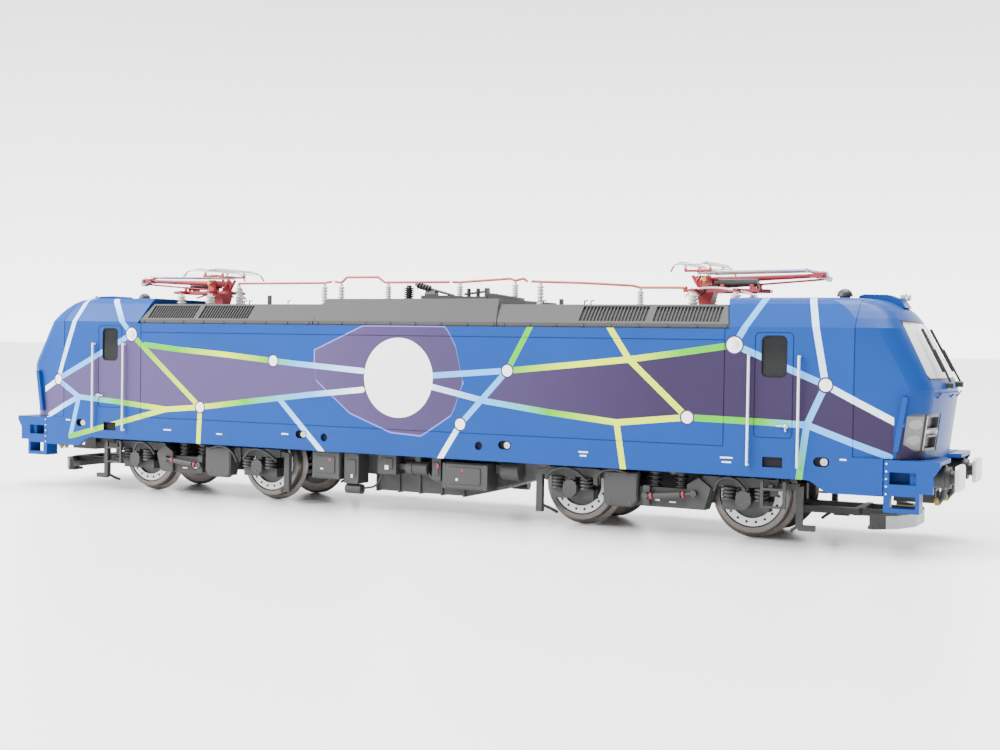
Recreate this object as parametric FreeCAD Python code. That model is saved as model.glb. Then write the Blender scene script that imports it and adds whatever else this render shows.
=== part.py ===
"""Model electric locomotive, 1:87, as an assembly of separate pieces.

Millimetres. X runs along the locomotive, Y across it, Z up. The origin is the middle of the floor that the
wheel flanges stand on. One STEP file is written per node into parts/.
"""
import FreeCAD, Part
import math
import os

V = FreeCAD.Vector

# ---------------------------------------------------------------- driving dimensions
LENGTH_OVER_BUFFERS = 218.2
BODY_HALF_WIDTH = 17.3
BOGIE_PIVOT_X = 54.6
HALF_WHEELBASE = 17.24
TREAD_R = 7.2
FLANGE_HEIGHT = 1.0
AXLE_Z = TREAD_R + FLANGE_HEIGHT

# body shell
WALL = 1.0
SILL_Z = 12.2
SKIRT_Z = 10.1
SILL_BEND_START_X = 83.7
SILL_BEND_END_X = 88.0
BODY_SIDE_END_X = 97.0
NOSE_LOW_Z = 16.6
FOLD_Z = 39.1
ROOF_Z = 44.5
ROOF_HALF_WIDTH = 13.4
POCKET_DEPTH = 0.6
NOSE_BACK_X = 78.0
NOSE_TAPER_X = 91.8
NOSE_SIDE = (5.0, 1.15)
NOSE_CORNER = (2.75, 2.5)
NOSE_END = (1.45, 4.9)
NOSE_CURVE = 1.8
BEYOND = 25.0
NOSE_CUT_X = (92.0, 110.0)
DECK_Z = 38.7
HATCH_END_X = 69.4
HATCH_END_TOP_X = 68.0
SHOULDER = [(39.1, 17.3), (43.3, 14.3), (44.1, 13.6), (44.5, 12.8)]
NOSE_PROFILE = [
    (NOSE_LOW_Z, 104.6),
    (27.6, 105.95),
    (28.6, 105.95),
    (29.8, 105.5),
    (40.8, 99.4),
    (42.1, 98.3),
    (43.2, 96.9),
    (44.0, 95.2),
    (ROOF_Z, 92.8),
]

# doors and side openings
DOOR_X = (74.1, 81.2)
DOOR_Z = (19.3, 38.2)
DOOR_R = 0.9
SEAM_X = 68.5
SEAM_Z = (17.5, 36.7)
WINDOW_X = (75.5, 79.8)
WINDOW_Z = (30.3, 37.4)
WINDOW_R = 0.9
STEP_POCKET_X = (75.85, 79.45)
STEP_POCKET_Z = (14.1, 15.9)
OVAL_XS = (24.2, 86.4)
OVAL_Z = 15.5
OVAL_R = 0.83
OVAL_HALF_LENGTH = 1.4
PORT_X = 18.4
PORT_Z = 15.1
PORT_R = 0.85
GROOVE = 0.18
GROOVE_DEPTH = 0.16

# windscreen and headlights, as outlines seen from the front (Y, Z)
SCREEN_LOW_Z = 30.5
SCREEN_TOP_Z = 40.3
SCREEN_LOW_Y = 12.7
SCREEN_TOP_Y = 11.2
SCREEN_LOW_CORNER = 0.6
SCREEN_TOP_CORNER = 0.8
PANE_GAP = 0.2
PANE_THICKNESS = 0.7
LAMP_Y = (8.0, 16.1)
LAMP_SPLIT_Y = 13.5
LAMP_Z = (17.9, 24.4)
LAMP_RECESS = 0.25
LAMP_LOW_CUT = (1.1, 1.2)
LAMP_TOP_CUT = 0.3
LENS_THICKNESS = 0.7
BEZEL_RECESS = 0.1
BEZEL_THICKNESS = 1.2
BEZEL_SLOTS = ((0.75, 1.9), (-0.45, 0.9), (-2.7, 1.9))

# rails and wipers
HANDRAIL_XS = (-82.3, -73.2, 73.2, 82.3)
HANDRAIL_Z = (14.4, 33.9)
HANDRAIL_R = 0.24
HANDRAIL_STAND = 0.75
NOSE_RAIL_YS = (-11.0, -7.0, -3.5, 0.0, 3.5, 7.0, 11.0)
NOSE_RAIL_Z = 27.9
NOSE_RAIL_R = 0.16
NOSE_RAIL_STAND = 0.55
FIN_EDGE_Y = 17.15
FIN_OUTLINE = [(98.6, 17.9), (99.5, 17.9), (100.9, 27.3), (100.0, 27.3)]
WIPER_YS = (-5.6, 4.4)
WIPER_PIVOT_Z = 29.3
WIPER_CLIP_Z = 35.5
WIPER_BLADE_Z = (31.6, 39.2)
WIPER_STAND = 0.55

# roof
COVER_X = (88.9, 97.6)
COVER_HALF_WIDTH = 3.0
HATCH_EDGE_Y = 13.6
HATCH_RIM = 0.9
HATCH_WALL = 0.9
CLIP_PITCH = 5.6
CLIP_HALF = 0.4
OUTER_GRILLES = [(39.2, 52.8), (54.2, 67.2)]
HATCH_FOOT_Y = 16.9
OUTER_HATCH_Z = 43.2
CENTRE_HATCH_Z = 44.35
HATCH_SPLIT_X = 22.0
HATCH_SPLIT_TOP_X = 20.7
HATCH_GAP = 0.12
GRILLE_MARGIN = 0.5
GRILLE_DEPTH = 0.4
SLAT_PITCH = 0.68
SLAT_WIDTH = 0.26
BREAKER_Y = -3.0
LIFTING_EYE_XS = (-47.0, -45.6, -35.0, 27.5, 36.5, 37.9)
DOME_X = 87.0
DOME_Y = 4.6
DOME_R = 1.45
BUS_R = 0.26
BUS_POSTS = [
    (-54.5, 48.4), (-30.5, 48.4), (-26.0, 48.4), (-13.7, 48.4),
    (4.2, 48.3), (17.4, 48.6), (23.2, 48.3), (45.3, 47.0),
]

# buffers
BUFFER_Y = 10.06
BUFFER_Z = 13.4
BEAM_X = 102.6
TONGUE_END_X = 100.6
BUFFER_HEAD_X = LENGTH_OVER_BUFFERS / 2
PLUNGER_R = 1.2
SLEEVE_R = 1.9
SLEEVE_BORE_R = 1.26
SKIRT_START_X = BODY_SIDE_END_X + 0.15
SKIRT_OUT_Y = BODY_HALF_WIDTH - 0.1
SKIRT_FOOT_Z = 7.4
PLATFORM_END_X = 106.5
PLATFORM_Z = (15.75, 16.45)
STEP_DEPTH = 3.4
STEP_SHEET = 0.6
STEP_ZS = (SKIRT_FOOT_Z, 11.7)
STEP_HOLES = ((98.1, 102.6, 12.3, 14.4), (98.3, 102.5, 8.2, 10.3))
HOSE_YS = (-5.6, -3.9, 3.9, 5.6)
HOSE_R = 0.42

# wheels and gears
WHEEL_BACK_Y = 7.2
WHEEL_WIDTH = 2.8
AXLE_R = 1.0
BOLT_HOLES = 18
BOLT_CIRCLE_R = 5.1
BOLT_HOLE_R = 0.17
GEAR_MODULE = 0.5
GEAR_TEETH = 18
GEAR_R = GEAR_MODULE * GEAR_TEETH / 2
GEAR_WIDTH = 2.4
GEAR_CLEARANCE = 0.08
GEAR_CENTRE_DISTANCE = 2 * GEAR_R + GEAR_CLEARANCE
CENTRE_GEAR_Z = 11.2
WORM_PITCH_R = 3.0
WORM_TURNS = 4
DRIVE_Z = CENTRE_GEAR_Z + GEAR_R + WORM_PITCH_R + GEAR_CLEARANCE
WORM_LEAD = math.pi * GEAR_MODULE
CUP_X = 5.2
CUP_R = 2.0
GEAR_SHAFT_HALF = 4.6
GEAR_SHAFT_R = 0.8

# bogies
FRAME_Y = (11.4, 14.2)
BOGIE_TOP_Z = 11.6
CHEEK_Y = (3.8, 4.8)
GEARBOX_END_X = 22.6
LADDER_X = 20.6
PIVOT_BOSS_R = 4.0
PIVOT_HOLE_R = 4.06
FRAME_DECK_Z = (24.0, 26.0)
TROUGH_Z = (12.3, 26.0)
CHASSIS_TOP_Z = 27.0
MOTOR_HALF_WIDTH = 8.0
MOTOR_R = 9.2
MOTOR_HALF_LENGTH = 13.0
ROTOR_ROOM_R = 6.6
ROTOR_R = 6.0
FLYWHEEL_R = 5.4
SHAFT_R = 0.75
COUPLER_PIN_X = 92.0
SCREW_X = 93.4
SCREW_Y = 9.0
SCREW_HOLE_R = 0.7
TANK_RIB_XS = (-8.8, -3.4, 1.6, 6.8, 12.0)

# pantograph, in the frame of the one at +X
PANTO_PIVOT = (60.0, 48.35)
PANTO_KNEE = (82.0, 49.1)
PANTO_HEAD = (58.6, 49.95)
PANTO_ROD_PIVOT = (62.0, 46.9)
PANTO_ROD_END = (82.93, 48.41)
PANTO_BASE_Z = (45.9, 46.5)
PANTO_RAIL_X = (55.6, 70.6)
PANTO_RAIL_Y = 3.4
PANTO_FOOT_X = 59.2
CYLINDER_Y = -2.0
CYLINDER_Z = 47.75
CYLINDER_X = (62.2, 70.0)
CYLINDER_R = 0.75
STRIP_DX = 2.5
ARM_END_Y = 3.0
HEAD_HALF_WIDTH = 11.2


# ---------------------------------------------------------------- helpers
def box(x0, x1, y0, y1, z0, z1):
    """A box between two planes on each axis."""
    return Part.makeBox(x1 - x0, y1 - y0, z1 - z0, V(x0, y0, z0))


def cyl(r, length, base, axis=(0, 0, 1)):
    """A cylinder from a base point along an axis."""
    return Part.makeCylinder(r, length, V(*base), V(*axis))


def cone(r1, r2, length, base, axis=(0, 0, 1)):
    """A cone frustum from a base point along an axis."""
    return Part.makeCone(r1, r2, length, V(*base), V(*axis))


def face_of(points):
    """A flat face through the given corners."""
    return Part.Face(Part.makePolygon(list(points) + [points[0]]))


def prism_y(outline, y0, y1):
    """Solid with an (x, z) outline between two Y planes."""
    return face_of([V(x, y0, z) for x, z in outline]).extrude(V(0, y1 - y0, 0))


def prism_x(outline, x0, x1):
    """Solid with a (y, z) outline between two X planes."""
    return face_of([V(x0, y, z) for y, z in outline]).extrude(V(x1 - x0, 0, 0))


def prism_z(outline, z0, z1):
    """Solid with an (x, y) outline between two Z planes."""
    return face_of([V(x, y, z0) for x, y in outline]).extrude(V(0, 0, z1 - z0))


def rounded_rect_y(x0, x1, z0, z1, r, y0, y1):
    """A rounded rectangle in X and Z, extruded along Y."""
    solid = box(x0, x1, min(y0, y1), max(y0, y1), z0, z1)
    edges = [e for e in solid.Edges if abs(e.BoundBox.YLength) > 0.9 * abs(y1 - y0)]
    return solid.makeFillet(r, edges)


def rounded_rect_x(y0, y1, z0, z1, r, x0, x1):
    """A rounded rectangle in Y and Z, extruded along X."""
    solid = box(min(x0, x1), max(x0, x1), y0, y1, z0, z1)
    edges = [e for e in solid.Edges if abs(e.BoundBox.XLength) > 0.9 * abs(x1 - x0)]
    return solid.makeFillet(r, edges)


def fused(shapes):
    """All the shapes as one."""
    shapes = list(shapes)
    if len(shapes) == 1:
        return shapes[0]
    return shapes[0].fuse(shapes[1:]).removeSplitter()


def cut(shape, tools):
    """The shape less all the tools."""
    return shape.cut(list(tools))


def mirror_x(shape):
    """The shape reflected to the other end."""
    return shape.mirror(V(0, 0, 0), V(1, 0, 0))


def mirror_y(shape):
    """The shape reflected to the other side."""
    return shape.mirror(V(0, 0, 0), V(0, 1, 0))


def half_turn(shape):
    """The shape turned by half a turn about the vertical axis through the origin."""
    turned = shape.copy()
    turned.rotate(V(0, 0, 0), V(0, 0, 1), 180)
    return turned


def moved(shape, x=0.0, y=0.0, z=0.0):
    """A copy shifted by x, y and z."""
    copy = shape.copy()
    copy.translate(V(x, y, z))
    return copy


def rod(points, r):
    """A round rod along straight runs, with a ball at each inner corner."""
    pieces = []
    for a, b in zip(points, points[1:]):
        start, end = V(*a), V(*b)
        pieces.append(Part.makeCylinder(r, (end - start).Length, start, end - start))
    for p in points[1:-1]:
        pieces.append(Part.makeSphere(r, V(*p)))
    return fused(pieces)


def revolve_about(points, axis_point, axis, radial):
    """Turns an outline of (along, radius) pairs about an axis. radial is a unit vector square to the axis."""
    a, d, n = V(*axis_point), V(*axis), V(*radial)
    outline = [a + d * along + n * r for along, r in points]
    return face_of(outline).revolve(a, d, 360)


# ---------------------------------------------------------------- body shell
def half_width(z):
    """Half the body's width at height z: upright to the fold, then leaning in to the roof edge."""
    for (z0, y0), (z1, y1) in zip(SHOULDER, SHOULDER[1:]):
        if z0 <= z <= z1:
            return y0 + (y1 - y0) * (z - z0) / (z1 - z0)
    return BODY_HALF_WIDTH if z < FOLD_Z else SHOULDER[-1][1]


def nose_front(z):
    """X of the nose on the centre line at height z."""
    if z <= NOSE_PROFILE[0][0]:
        return NOSE_PROFILE[0][1]
    for (z0, x0), (z1, x1) in zip(NOSE_PROFILE, NOSE_PROFILE[1:]):
        if z <= z1:
            return x0 + (x1 - x0) * (z - z0) / (z1 - z0)
    return NOSE_PROFILE[-1][1]


def nose_section(z, inset):
    """The nose's outline at height z, from its flat back round the curved front."""
    half = half_width(z) - inset
    front = nose_front(z) - inset
    taper = min(NOSE_TAPER_X, front - NOSE_SIDE[0] - 3.0)
    side, corner, end = [(front - back, half - in_by) for back, in_by in (NOSE_SIDE, NOSE_CORNER, NOSE_END)]
    path = [V(NOSE_BACK_X, -half, z), V(taper, -half, z), V(side[0], -side[1], z)]
    edges = [Part.LineSegment(a, b).toShape() for a, b in zip(path, path[1:])]

    def arc(a, b, c):
        edges.append(Part.Arc(V(*a, z), V(*b, z), V(*c, z)).toShape())

    arc((side[0], -side[1]), (corner[0], -corner[1]), (end[0], -end[1]))
    arc((end[0], -end[1]), (front, 0), end)
    arc(end, corner, side)
    back = [V(*side, z), V(taper, half, z), V(NOSE_BACK_X, half, z), V(NOSE_BACK_X, -half, z)]
    edges += [Part.LineSegment(a, b).toShape() for a, b in zip(back, back[1:])]
    return Part.Wire(edges)


def nose_solid(inset, z_low=NOSE_LOW_Z, z_high=ROOF_Z):
    """The nose between two heights, set in from the outer skin by inset."""
    heights = [z_low] + [z for z, _ in NOSE_PROFILE if z_low < z < z_high]
    heights += [z for z, _ in SHOULDER if z_low < z < z_high]
    heights = sorted(set(heights + [z_high]))
    return Part.makeLoft([nose_section(z, inset) for z in heights], True, True)


def hull(inset, z_low=NOSE_LOW_Z, z_high=ROOF_Z):
    """The closed body form, set in from the outer skin by inset, between two heights."""
    heights = [z_low] + [z for z, _ in SHOULDER if z_low < z < z_high] + [z_high]
    right = [(half_width(z) - inset, z) for z in heights]
    outline = right + [(-y, z) for y, z in reversed(right)]
    middle = prism_x(outline, -NOSE_BACK_X, NOSE_BACK_X)
    nose = nose_solid(inset, z_low, z_high)
    return fused([middle, nose, mirror_x(nose)])


def sill_outline(x_end):
    """Lower edge of the body side as an (x, z) outline, closed along the nose's lower edge."""
    steps = 6
    bend = []
    for i in range(steps + 1):
        t = i / steps
        x = SILL_BEND_START_X + t * (SILL_BEND_END_X - SILL_BEND_START_X)
        z = SILL_Z + (SKIRT_Z - SILL_Z) * (3 * t * t - 2 * t**3)
        bend.append((x, z))
    right = bend + [(x_end, SKIRT_Z), (x_end, NOSE_LOW_Z)]
    return [(-x, z) for x, z in reversed(right)] + right


def screen_outline():
    """The windscreen's opening seen from the front."""
    low, top = SCREEN_LOW_Z, SCREEN_TOP_Z
    return [
        (-SCREEN_LOW_Y, low + SCREEN_LOW_CORNER),
        (-SCREEN_LOW_Y + SCREEN_LOW_CORNER, low),
        (SCREEN_LOW_Y - SCREEN_LOW_CORNER, low),
        (SCREEN_LOW_Y, low + SCREEN_LOW_CORNER),
        (SCREEN_TOP_Y, top - SCREEN_TOP_CORNER),
        (SCREEN_TOP_Y - SCREEN_TOP_CORNER, top),
        (-SCREEN_TOP_Y + SCREEN_TOP_CORNER, top),
        (-SCREEN_TOP_Y, top - SCREEN_TOP_CORNER),
    ]


def lamp_outline(y0, y1):
    """A headlight unit seen from the front, with its outer lower corner cut off."""
    z0, z1 = LAMP_Z
    cut_y, cut_z = LAMP_LOW_CUT
    lower = [(y0, z0), (y1 - cut_y, z0), (y1, z0 + cut_z)]
    return lower + [(y1, z1 - LAMP_TOP_CUT), (y1 - LAMP_TOP_CUT, z1), (y0, z1)]


def door_groove(side):
    """A thin frame-shaped groove round one door."""
    y0 = side * (BODY_HALF_WIDTH - GROOVE_DEPTH)
    y1 = side * (BODY_HALF_WIDTH + 1.0)
    outer = rounded_rect_y(*DOOR_X, *DOOR_Z, DOOR_R, y0, y1)
    inner_x = (DOOR_X[0] + GROOVE, DOOR_X[1] - GROOVE)
    inner_z = (DOOR_Z[0] + GROOVE, DOOR_Z[1] - GROOVE)
    inner = rounded_rect_y(*inner_x, *inner_z, DOOR_R - 0.15, y0, y1)
    return outer.cut(inner)


def seam_cutters():
    """Grooves that part the cab, the side wall and the nose."""
    out = BODY_HALF_WIDTH + 1.0
    deep = BODY_HALF_WIDTH - GROOVE_DEPTH
    tools = []
    for side in (-1, 1):
        ys = sorted((side * deep, side * out))
        for x in (-SEAM_X, SEAM_X):
            tools.append(box(x - GROOVE / 2, x + GROOVE / 2, *ys, SEAM_Z[0], FOLD_Z))
        for z in SEAM_Z:
            tools.append(box(-SEAM_X, SEAM_X, *ys, z - GROOVE / 2, z + GROOVE / 2))
    ring = hull(-0.5).cut(hull(GROOVE_DEPTH))
    seam_x = (NOSE_TAPER_X - GROOVE / 2, NOSE_TAPER_X + GROOVE / 2)
    slab = box(*seam_x, -BEYOND, BEYOND, NOSE_LOW_Z - 1, ROOF_Z + 1)
    nose_seam = ring.common(slab)
    ledge = box(NOSE_TAPER_X, BODY_SIDE_END_X + 0.1, -BEYOND, -deep, NOSE_LOW_Z, NOSE_LOW_Z + GROOVE)
    for tool in (nose_seam, ledge, mirror_y(ledge)):
        tools += [tool, mirror_x(tool)]
    return tools


def side_openings():
    """Door windows cut through the side walls, and the shallow pockets and ports."""
    tools = []
    for side in (-1, 1):
        y0, y1 = side * (BODY_HALF_WIDTH - POCKET_DEPTH), side * (BODY_HALF_WIDTH + 1.0)
        ys = sorted((y0, y1))
        inside = side * (BODY_HALF_WIDTH - 2 * WALL)
        window = rounded_rect_y(*WINDOW_X, *WINDOW_Z, WINDOW_R, inside, y1)
        pocket = box(*STEP_POCKET_X, *ys, *STEP_POCKET_Z)
        port = cyl(PORT_R, ys[1] - ys[0], (PORT_X, ys[0], PORT_Z), (0, 1, 0))
        oval_z = (OVAL_Z - OVAL_R, OVAL_Z + OVAL_R)
        ovals = []
        for x in OVAL_XS:
            ends = (x - OVAL_HALF_LENGTH, x + OVAL_HALF_LENGTH)
            ovals.append(rounded_rect_y(*ends, *oval_z, OVAL_R * 0.99, y0, y1))
        groove = door_groove(side)
        for tool in [window, pocket, port, groove] + ovals:
            tools += [tool, mirror_x(tool)]
    return tools


def hatch_bay(top=60.0):
    """The space above the roof deck that the hatches fill."""
    outline = [
        (-HATCH_END_X, DECK_Z),
        (HATCH_END_X, DECK_Z),
        (HATCH_END_TOP_X, CENTRE_HATCH_Z),
        (HATCH_END_TOP_X, top),
        (-HATCH_END_TOP_X, top),
        (-HATCH_END_TOP_X, CENTRE_HATCH_Z),
    ]
    return prism_y(outline, -BEYOND, BEYOND)


def roof_cover():
    """Low fairing on the cab roof, ahead of the dome."""
    outline = [(COVER_X[0], ROOF_Z - 0.3)]
    outline += [(89.3, 45.2), (90.2, 45.45), (94.4, 45.35), (96.6, 44.5)]
    outline += [(COVER_X[1], 43.0), (94.0, 42.8)]
    return prism_y(outline, -COVER_HALF_WIDTH, COVER_HALF_WIDTH)


def body_shell():
    """Thin-walled body with its roof deck, openings, seams, fins and roof covers."""
    skirt_plate = prism_y(sill_outline(BODY_SIDE_END_X), -BODY_HALF_WIDTH, -BODY_HALF_WIDTH + WALL)
    outer = fused([hull(0.0), skirt_plate, mirror_y(skirt_plate)])
    deck_x, deck_y = HATCH_END_X + 1.2, BODY_HALF_WIDTH - 0.5
    deck = box(-deck_x, deck_x, -deck_y, deck_y, DECK_Z - WALL, DECK_Z)
    wall_x = (HATCH_END_TOP_X, HATCH_END_TOP_X + WALL + 1.5)
    end_wall = box(*wall_x, -ROOF_HALF_WIDTH, ROOF_HALF_WIDTH, DECK_Z - WALL, ROOF_Z - 0.5)
    shell = outer.cut(hull(WALL, NOSE_LOW_Z - 1.0, ROOF_Z - WALL))
    shell = fused([shell, deck, end_wall, mirror_x(end_wall)])
    shell = cut(shell, [hatch_bay()])
    lamp = prism_x(lamp_outline(*LAMP_Y), *NOSE_CUT_X)
    front_cuts = [prism_x(screen_outline(), *NOSE_CUT_X), lamp, mirror_y(lamp)]
    ends = front_cuts + [mirror_x(tool) for tool in front_cuts]
    shell = cut(shell, ends + side_openings() + seam_cutters())
    fins = [nose_fin(side) for side in (-1, 1)] + [roof_cover()]
    fins += [mirror_x(fin) for fin in fins]
    return fused([shell] + fins)


def glazing():
    """Windscreens and door windows, each set just inside its opening."""
    outside = nose_solid(PANE_GAP, SCREEN_LOW_Z - 0.6, SCREEN_TOP_Z + 0.6)
    inside = nose_solid(PANE_GAP + PANE_THICKNESS, SCREEN_LOW_Z - 2.0, SCREEN_TOP_Z + 2.0)
    screen = outside.cut(inside).common(prism_x(screen_outline(), *NOSE_CUT_X))
    panes = [screen, mirror_x(screen)]
    for side in (-1, 1):
        y0, y1 = side * (BODY_HALF_WIDTH - 0.9), side * (BODY_HALF_WIDTH - GROOVE - 0.07)
        window = rounded_rect_y(*WINDOW_X, *WINDOW_Z, WINDOW_R, y0, y1)
        panes += [window, mirror_x(window)]
    return panes


def lamp_piece(y0, y1, inset, depth):
    """A block that follows the nose's skin, cut to part of the headlight opening."""
    low, high = LAMP_Z[0] - 1.0, LAMP_Z[1] + 1.0
    skin = nose_solid(inset, low, high).cut(nose_solid(inset + depth, low - 1.0, high + 1.0))
    opening = prism_x(lamp_outline(*LAMP_Y), *NOSE_CUT_X)
    return skin.common(opening).common(box(*NOSE_CUT_X, y0, y1, low, high))


def four_corners(piece):
    """The piece at both sides of both ends."""
    both = [piece, mirror_y(piece)]
    return both + [mirror_x(s) for s in both]


def headlight_lenses():
    """The clear outer part of each headlight unit."""
    return four_corners(lamp_piece(LAMP_SPLIT_Y, LAMP_Y[1], LAMP_RECESS, LENS_THICKNESS))


def headlight_bezels():
    """The inner part of each headlight unit: a frame with slats and a lamp between them."""
    block = lamp_piece(LAMP_Y[0], LAMP_SPLIT_Y, BEZEL_RECESS, BEZEL_THICKNESS)
    z_mid = (LAMP_Z[0] + LAMP_Z[1]) / 2
    slots = []
    for rise, high in BEZEL_SLOTS:
        z = z_mid + rise
        slots.append(box(*NOSE_CUT_X, LAMP_Y[0] + 0.5, LAMP_SPLIT_Y - 0.4, z, z + high))
    cutter = fused(slots).common(hull(-1.0).cut(hull(0.8)))
    return four_corners(block.cut(cutter))


# ---------------------------------------------------------------- nose and door fittings
def door_handrail(x, side):
    """One upright handrail beside a door."""
    y = side * (BODY_HALF_WIDTH + HANDRAIL_STAND)
    wall = side * BODY_HALF_WIDTH
    low, high = HANDRAIL_Z
    return rod([(x, wall, low), (x, y, low), (x, y, high), (x, wall, high)], HANDRAIL_R)


def door_handrails():
    """The eight handrails beside the doors."""
    rails = []
    for x in HANDRAIL_XS:
        for side in (-1, 1):
            rails.append(door_handrail(x, side))
    return rails


def nose_rail():
    """Grab rail across the nose under the windscreen, with its four posts."""
    z = NOSE_RAIL_Z
    points = [(nose_x(y, z) + NOSE_RAIL_STAND, y, z) for y in NOSE_RAIL_YS]
    bar = rod(points, NOSE_RAIL_R)
    posts = []
    for x, y, _ in points[::2]:
        posts.append(Part.makeCylinder(0.14, 1.0, V(x, y, z), V(-0.6, 0, -0.8)))
    rail = fused([bar] + posts)
    return rail.cut(hull(0.0))


def nose_x(y, z):
    """X of the nose skin at (y, z) between the front corners."""
    half, front = half_width(z), nose_front(z)
    drop = NOSE_END[0]
    end_y = half - NOSE_END[1]
    radius = (end_y**2 + drop**2) / (2 * drop)
    if abs(y) <= end_y:
        return front - radius + math.sqrt(radius**2 - y**2)
    reach = (abs(y) - end_y) / (half - NOSE_SIDE[1] - end_y)
    return front - drop - (NOSE_SIDE[0] - drop) * reach**NOSE_CURVE


def nose_fin(side):
    """Upright blade on the nose's edge beside the headlight."""
    blade = prism_y(FIN_OUTLINE, *sorted((side * (LAMP_Y[1] + 0.05), side * FIN_EDGE_Y)))
    return blade.cut(hull(WALL * 0.8))


def wiper(y0):
    """One windscreen wiper: pivot, arm and blade, leaning along the glass."""
    def on_glass(shift, z, stand):
        return (nose_x(y0 + shift, z) + stand, y0 + shift, z)

    pivot = cyl(0.55, 1.5, on_glass(0.0, WIPER_PIVOT_Z, -0.25), (1, 0, 0))
    arm_end = on_glass(1.0, WIPER_CLIP_Z, WIPER_STAND + 0.35)
    arm = rod([on_glass(0.0, WIPER_PIVOT_Z, 0.95), arm_end], 0.2)
    low, high = WIPER_BLADE_Z
    blade = rod([on_glass(0.4, low, WIPER_STAND), on_glass(1.6, high, WIPER_STAND)], 0.26)
    clip = rod([arm_end, on_glass(1.0, WIPER_CLIP_Z, WIPER_STAND)], 0.22)
    return fused([pivot, arm, blade, clip]).cut(hull(0.0))


def wipers():
    """Two wipers on each windscreen."""
    pair = [wiper(y) for y in WIPER_YS]
    return pair + [half_turn(w) for w in pair]


# ---------------------------------------------------------------- buffer beams
def skirt_side():
    """Side wall of the end skirt with its two step openings."""
    outline = [
        (SKIRT_START_X, SKIRT_FOOT_Z),
        (103.2, SKIRT_FOOT_Z),
        (103.2, 10.9),
        (105.4, 10.9),
        (105.4, 13.9),
        (PLATFORM_END_X - 0.6, 14.6),
        (PLATFORM_END_X, 15.5),
        (PLATFORM_END_X, PLATFORM_Z[1]),
        (SKIRT_START_X, PLATFORM_Z[1]),
    ]
    plate = prism_y(outline, -SKIRT_OUT_Y, -SKIRT_OUT_Y + WALL)
    holes = [box(x0, x1, -BEYOND, -10, z0, z1) for x0, x1, z0, z1 in STEP_HOLES]
    return plate.cut(fused(holes))


def platform():
    """Tread plate over the beam, cut back in the middle and at the outer corners."""
    left = [
        (103.9, -SKIRT_OUT_Y),
        (PLATFORM_END_X, -SKIRT_OUT_Y + 0.9),
        (PLATFORM_END_X, -6.2),
        (104.2, -5.0),
    ]
    right = [(x, -y) for x, y in reversed(left)]
    outline = [(SKIRT_START_X, -SKIRT_OUT_Y), *left, *right, (SKIRT_START_X, SKIRT_OUT_Y)]
    return prism_z(outline, *PLATFORM_Z)


def step_box(side):
    """Two treads, the back plate and the posts behind one skirt side."""
    ys = sorted((side * (SKIRT_OUT_Y - STEP_DEPTH), side * (SKIRT_OUT_Y - 0.2)))
    back_ys = sorted((side * (SKIRT_OUT_Y - 3.8), side * (SKIRT_OUT_Y - 3.2)))
    top = PLATFORM_Z[0] + 0.15
    pieces = [box(97.6, 103.0, *ys, z, z + STEP_SHEET) for z in STEP_ZS]
    pieces.append(box(97.6, 103.0, *back_ys, STEP_ZS[1], top))
    pieces.append(box(SKIRT_START_X, 97.95, *ys, SKIRT_FOOT_Z, top))
    pieces.append(box(BEAM_X, BEAM_X + STEP_SHEET, *ys, SKIRT_FOOT_Z, 11.9))
    return pieces


def coupling_hook():
    """Hook in the middle of the beam."""
    outline = [(102.5, 12.4), (105.6, 12.4), (105.9, 13.4), (105.0, 13.9)]
    outline += [(104.8, 13.2), (103.6, 13.2), (102.5, 14.2)]
    return prism_y(outline, -0.5, 0.5)


def skirt():
    """End skirt at +X: side walls, beam, platform and step boxes."""
    inner_y = SKIRT_OUT_Y - 0.9
    beam = box(101.4, BEAM_X, -inner_y, inner_y, 10.9, PLATFORM_Z[0] + 0.15)
    brace = box(TONGUE_END_X, 101.6, -8.0, 8.0, 12.6, PLATFORM_Z[0] + 0.15)
    pieces = [beam, platform(), brace, coupling_hook(), skirt_side(), mirror_y(skirt_side())]
    for side in (-1, 1):
        pieces += step_box(side)
    holes = [cyl(1.45, 6.0, (98.0, side * BUFFER_Y, BUFFER_Z), (1, 0, 0)) for side in (-1, 1)]
    return fused(pieces).cut(fused(holes))


def brake_hoses():
    """Air hoses that hang from the beam on both sides of the hook."""
    hoses = []
    for y in HOSE_YS:
        cock = cyl(0.62, 0.9, (BEAM_X, y, 13.0), (1, 0, 0))
        drop = [(104.6, y, 12.6), (105.3, y, 11.0), (105.1, y * 0.98, 9.4), (104.2, y * 0.96, 8.3)]
        route = [(BEAM_X + 0.5, y, 13.0)] + drop
        hoses.append(fused([cock, rod(route, HOSE_R)]))
    return hoses + [mirror_x(h) for h in hoses]


def buffer_sleeve(side):
    """Buffer sleeve: flange on the beam, tube with its collar, and the spigot inside."""
    y = side * BUFFER_Y
    flange = rounded_rect_x(y - 2.5, y + 2.5, BUFFER_Z - 1.9, BUFFER_Z + 1.9, 0.7, BEAM_X, BEAM_X + 0.7)
    tube = cyl(SLEEVE_R, 4.1, (BEAM_X + 0.5, y, BUFFER_Z), (1, 0, 0))
    collar = cyl(SLEEVE_R + 0.25, 0.6, (BEAM_X + 3.2, y, BUFFER_Z), (1, 0, 0))
    spigot = cyl(1.42, 3.2, (BEAM_X - 3.0, y, BUFFER_Z), (1, 0, 0))
    bore = cyl(SLEEVE_BORE_R, 8.1, (BEAM_X - 2.4, y, BUFFER_Z), (1, 0, 0))
    return fused([flange, tube, collar, spigot]).cut(bore)


def buffer_sleeves():
    """The four buffer sleeves."""
    pair = [buffer_sleeve(-1), buffer_sleeve(1)]
    return pair + [mirror_x(s) for s in pair]


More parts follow.
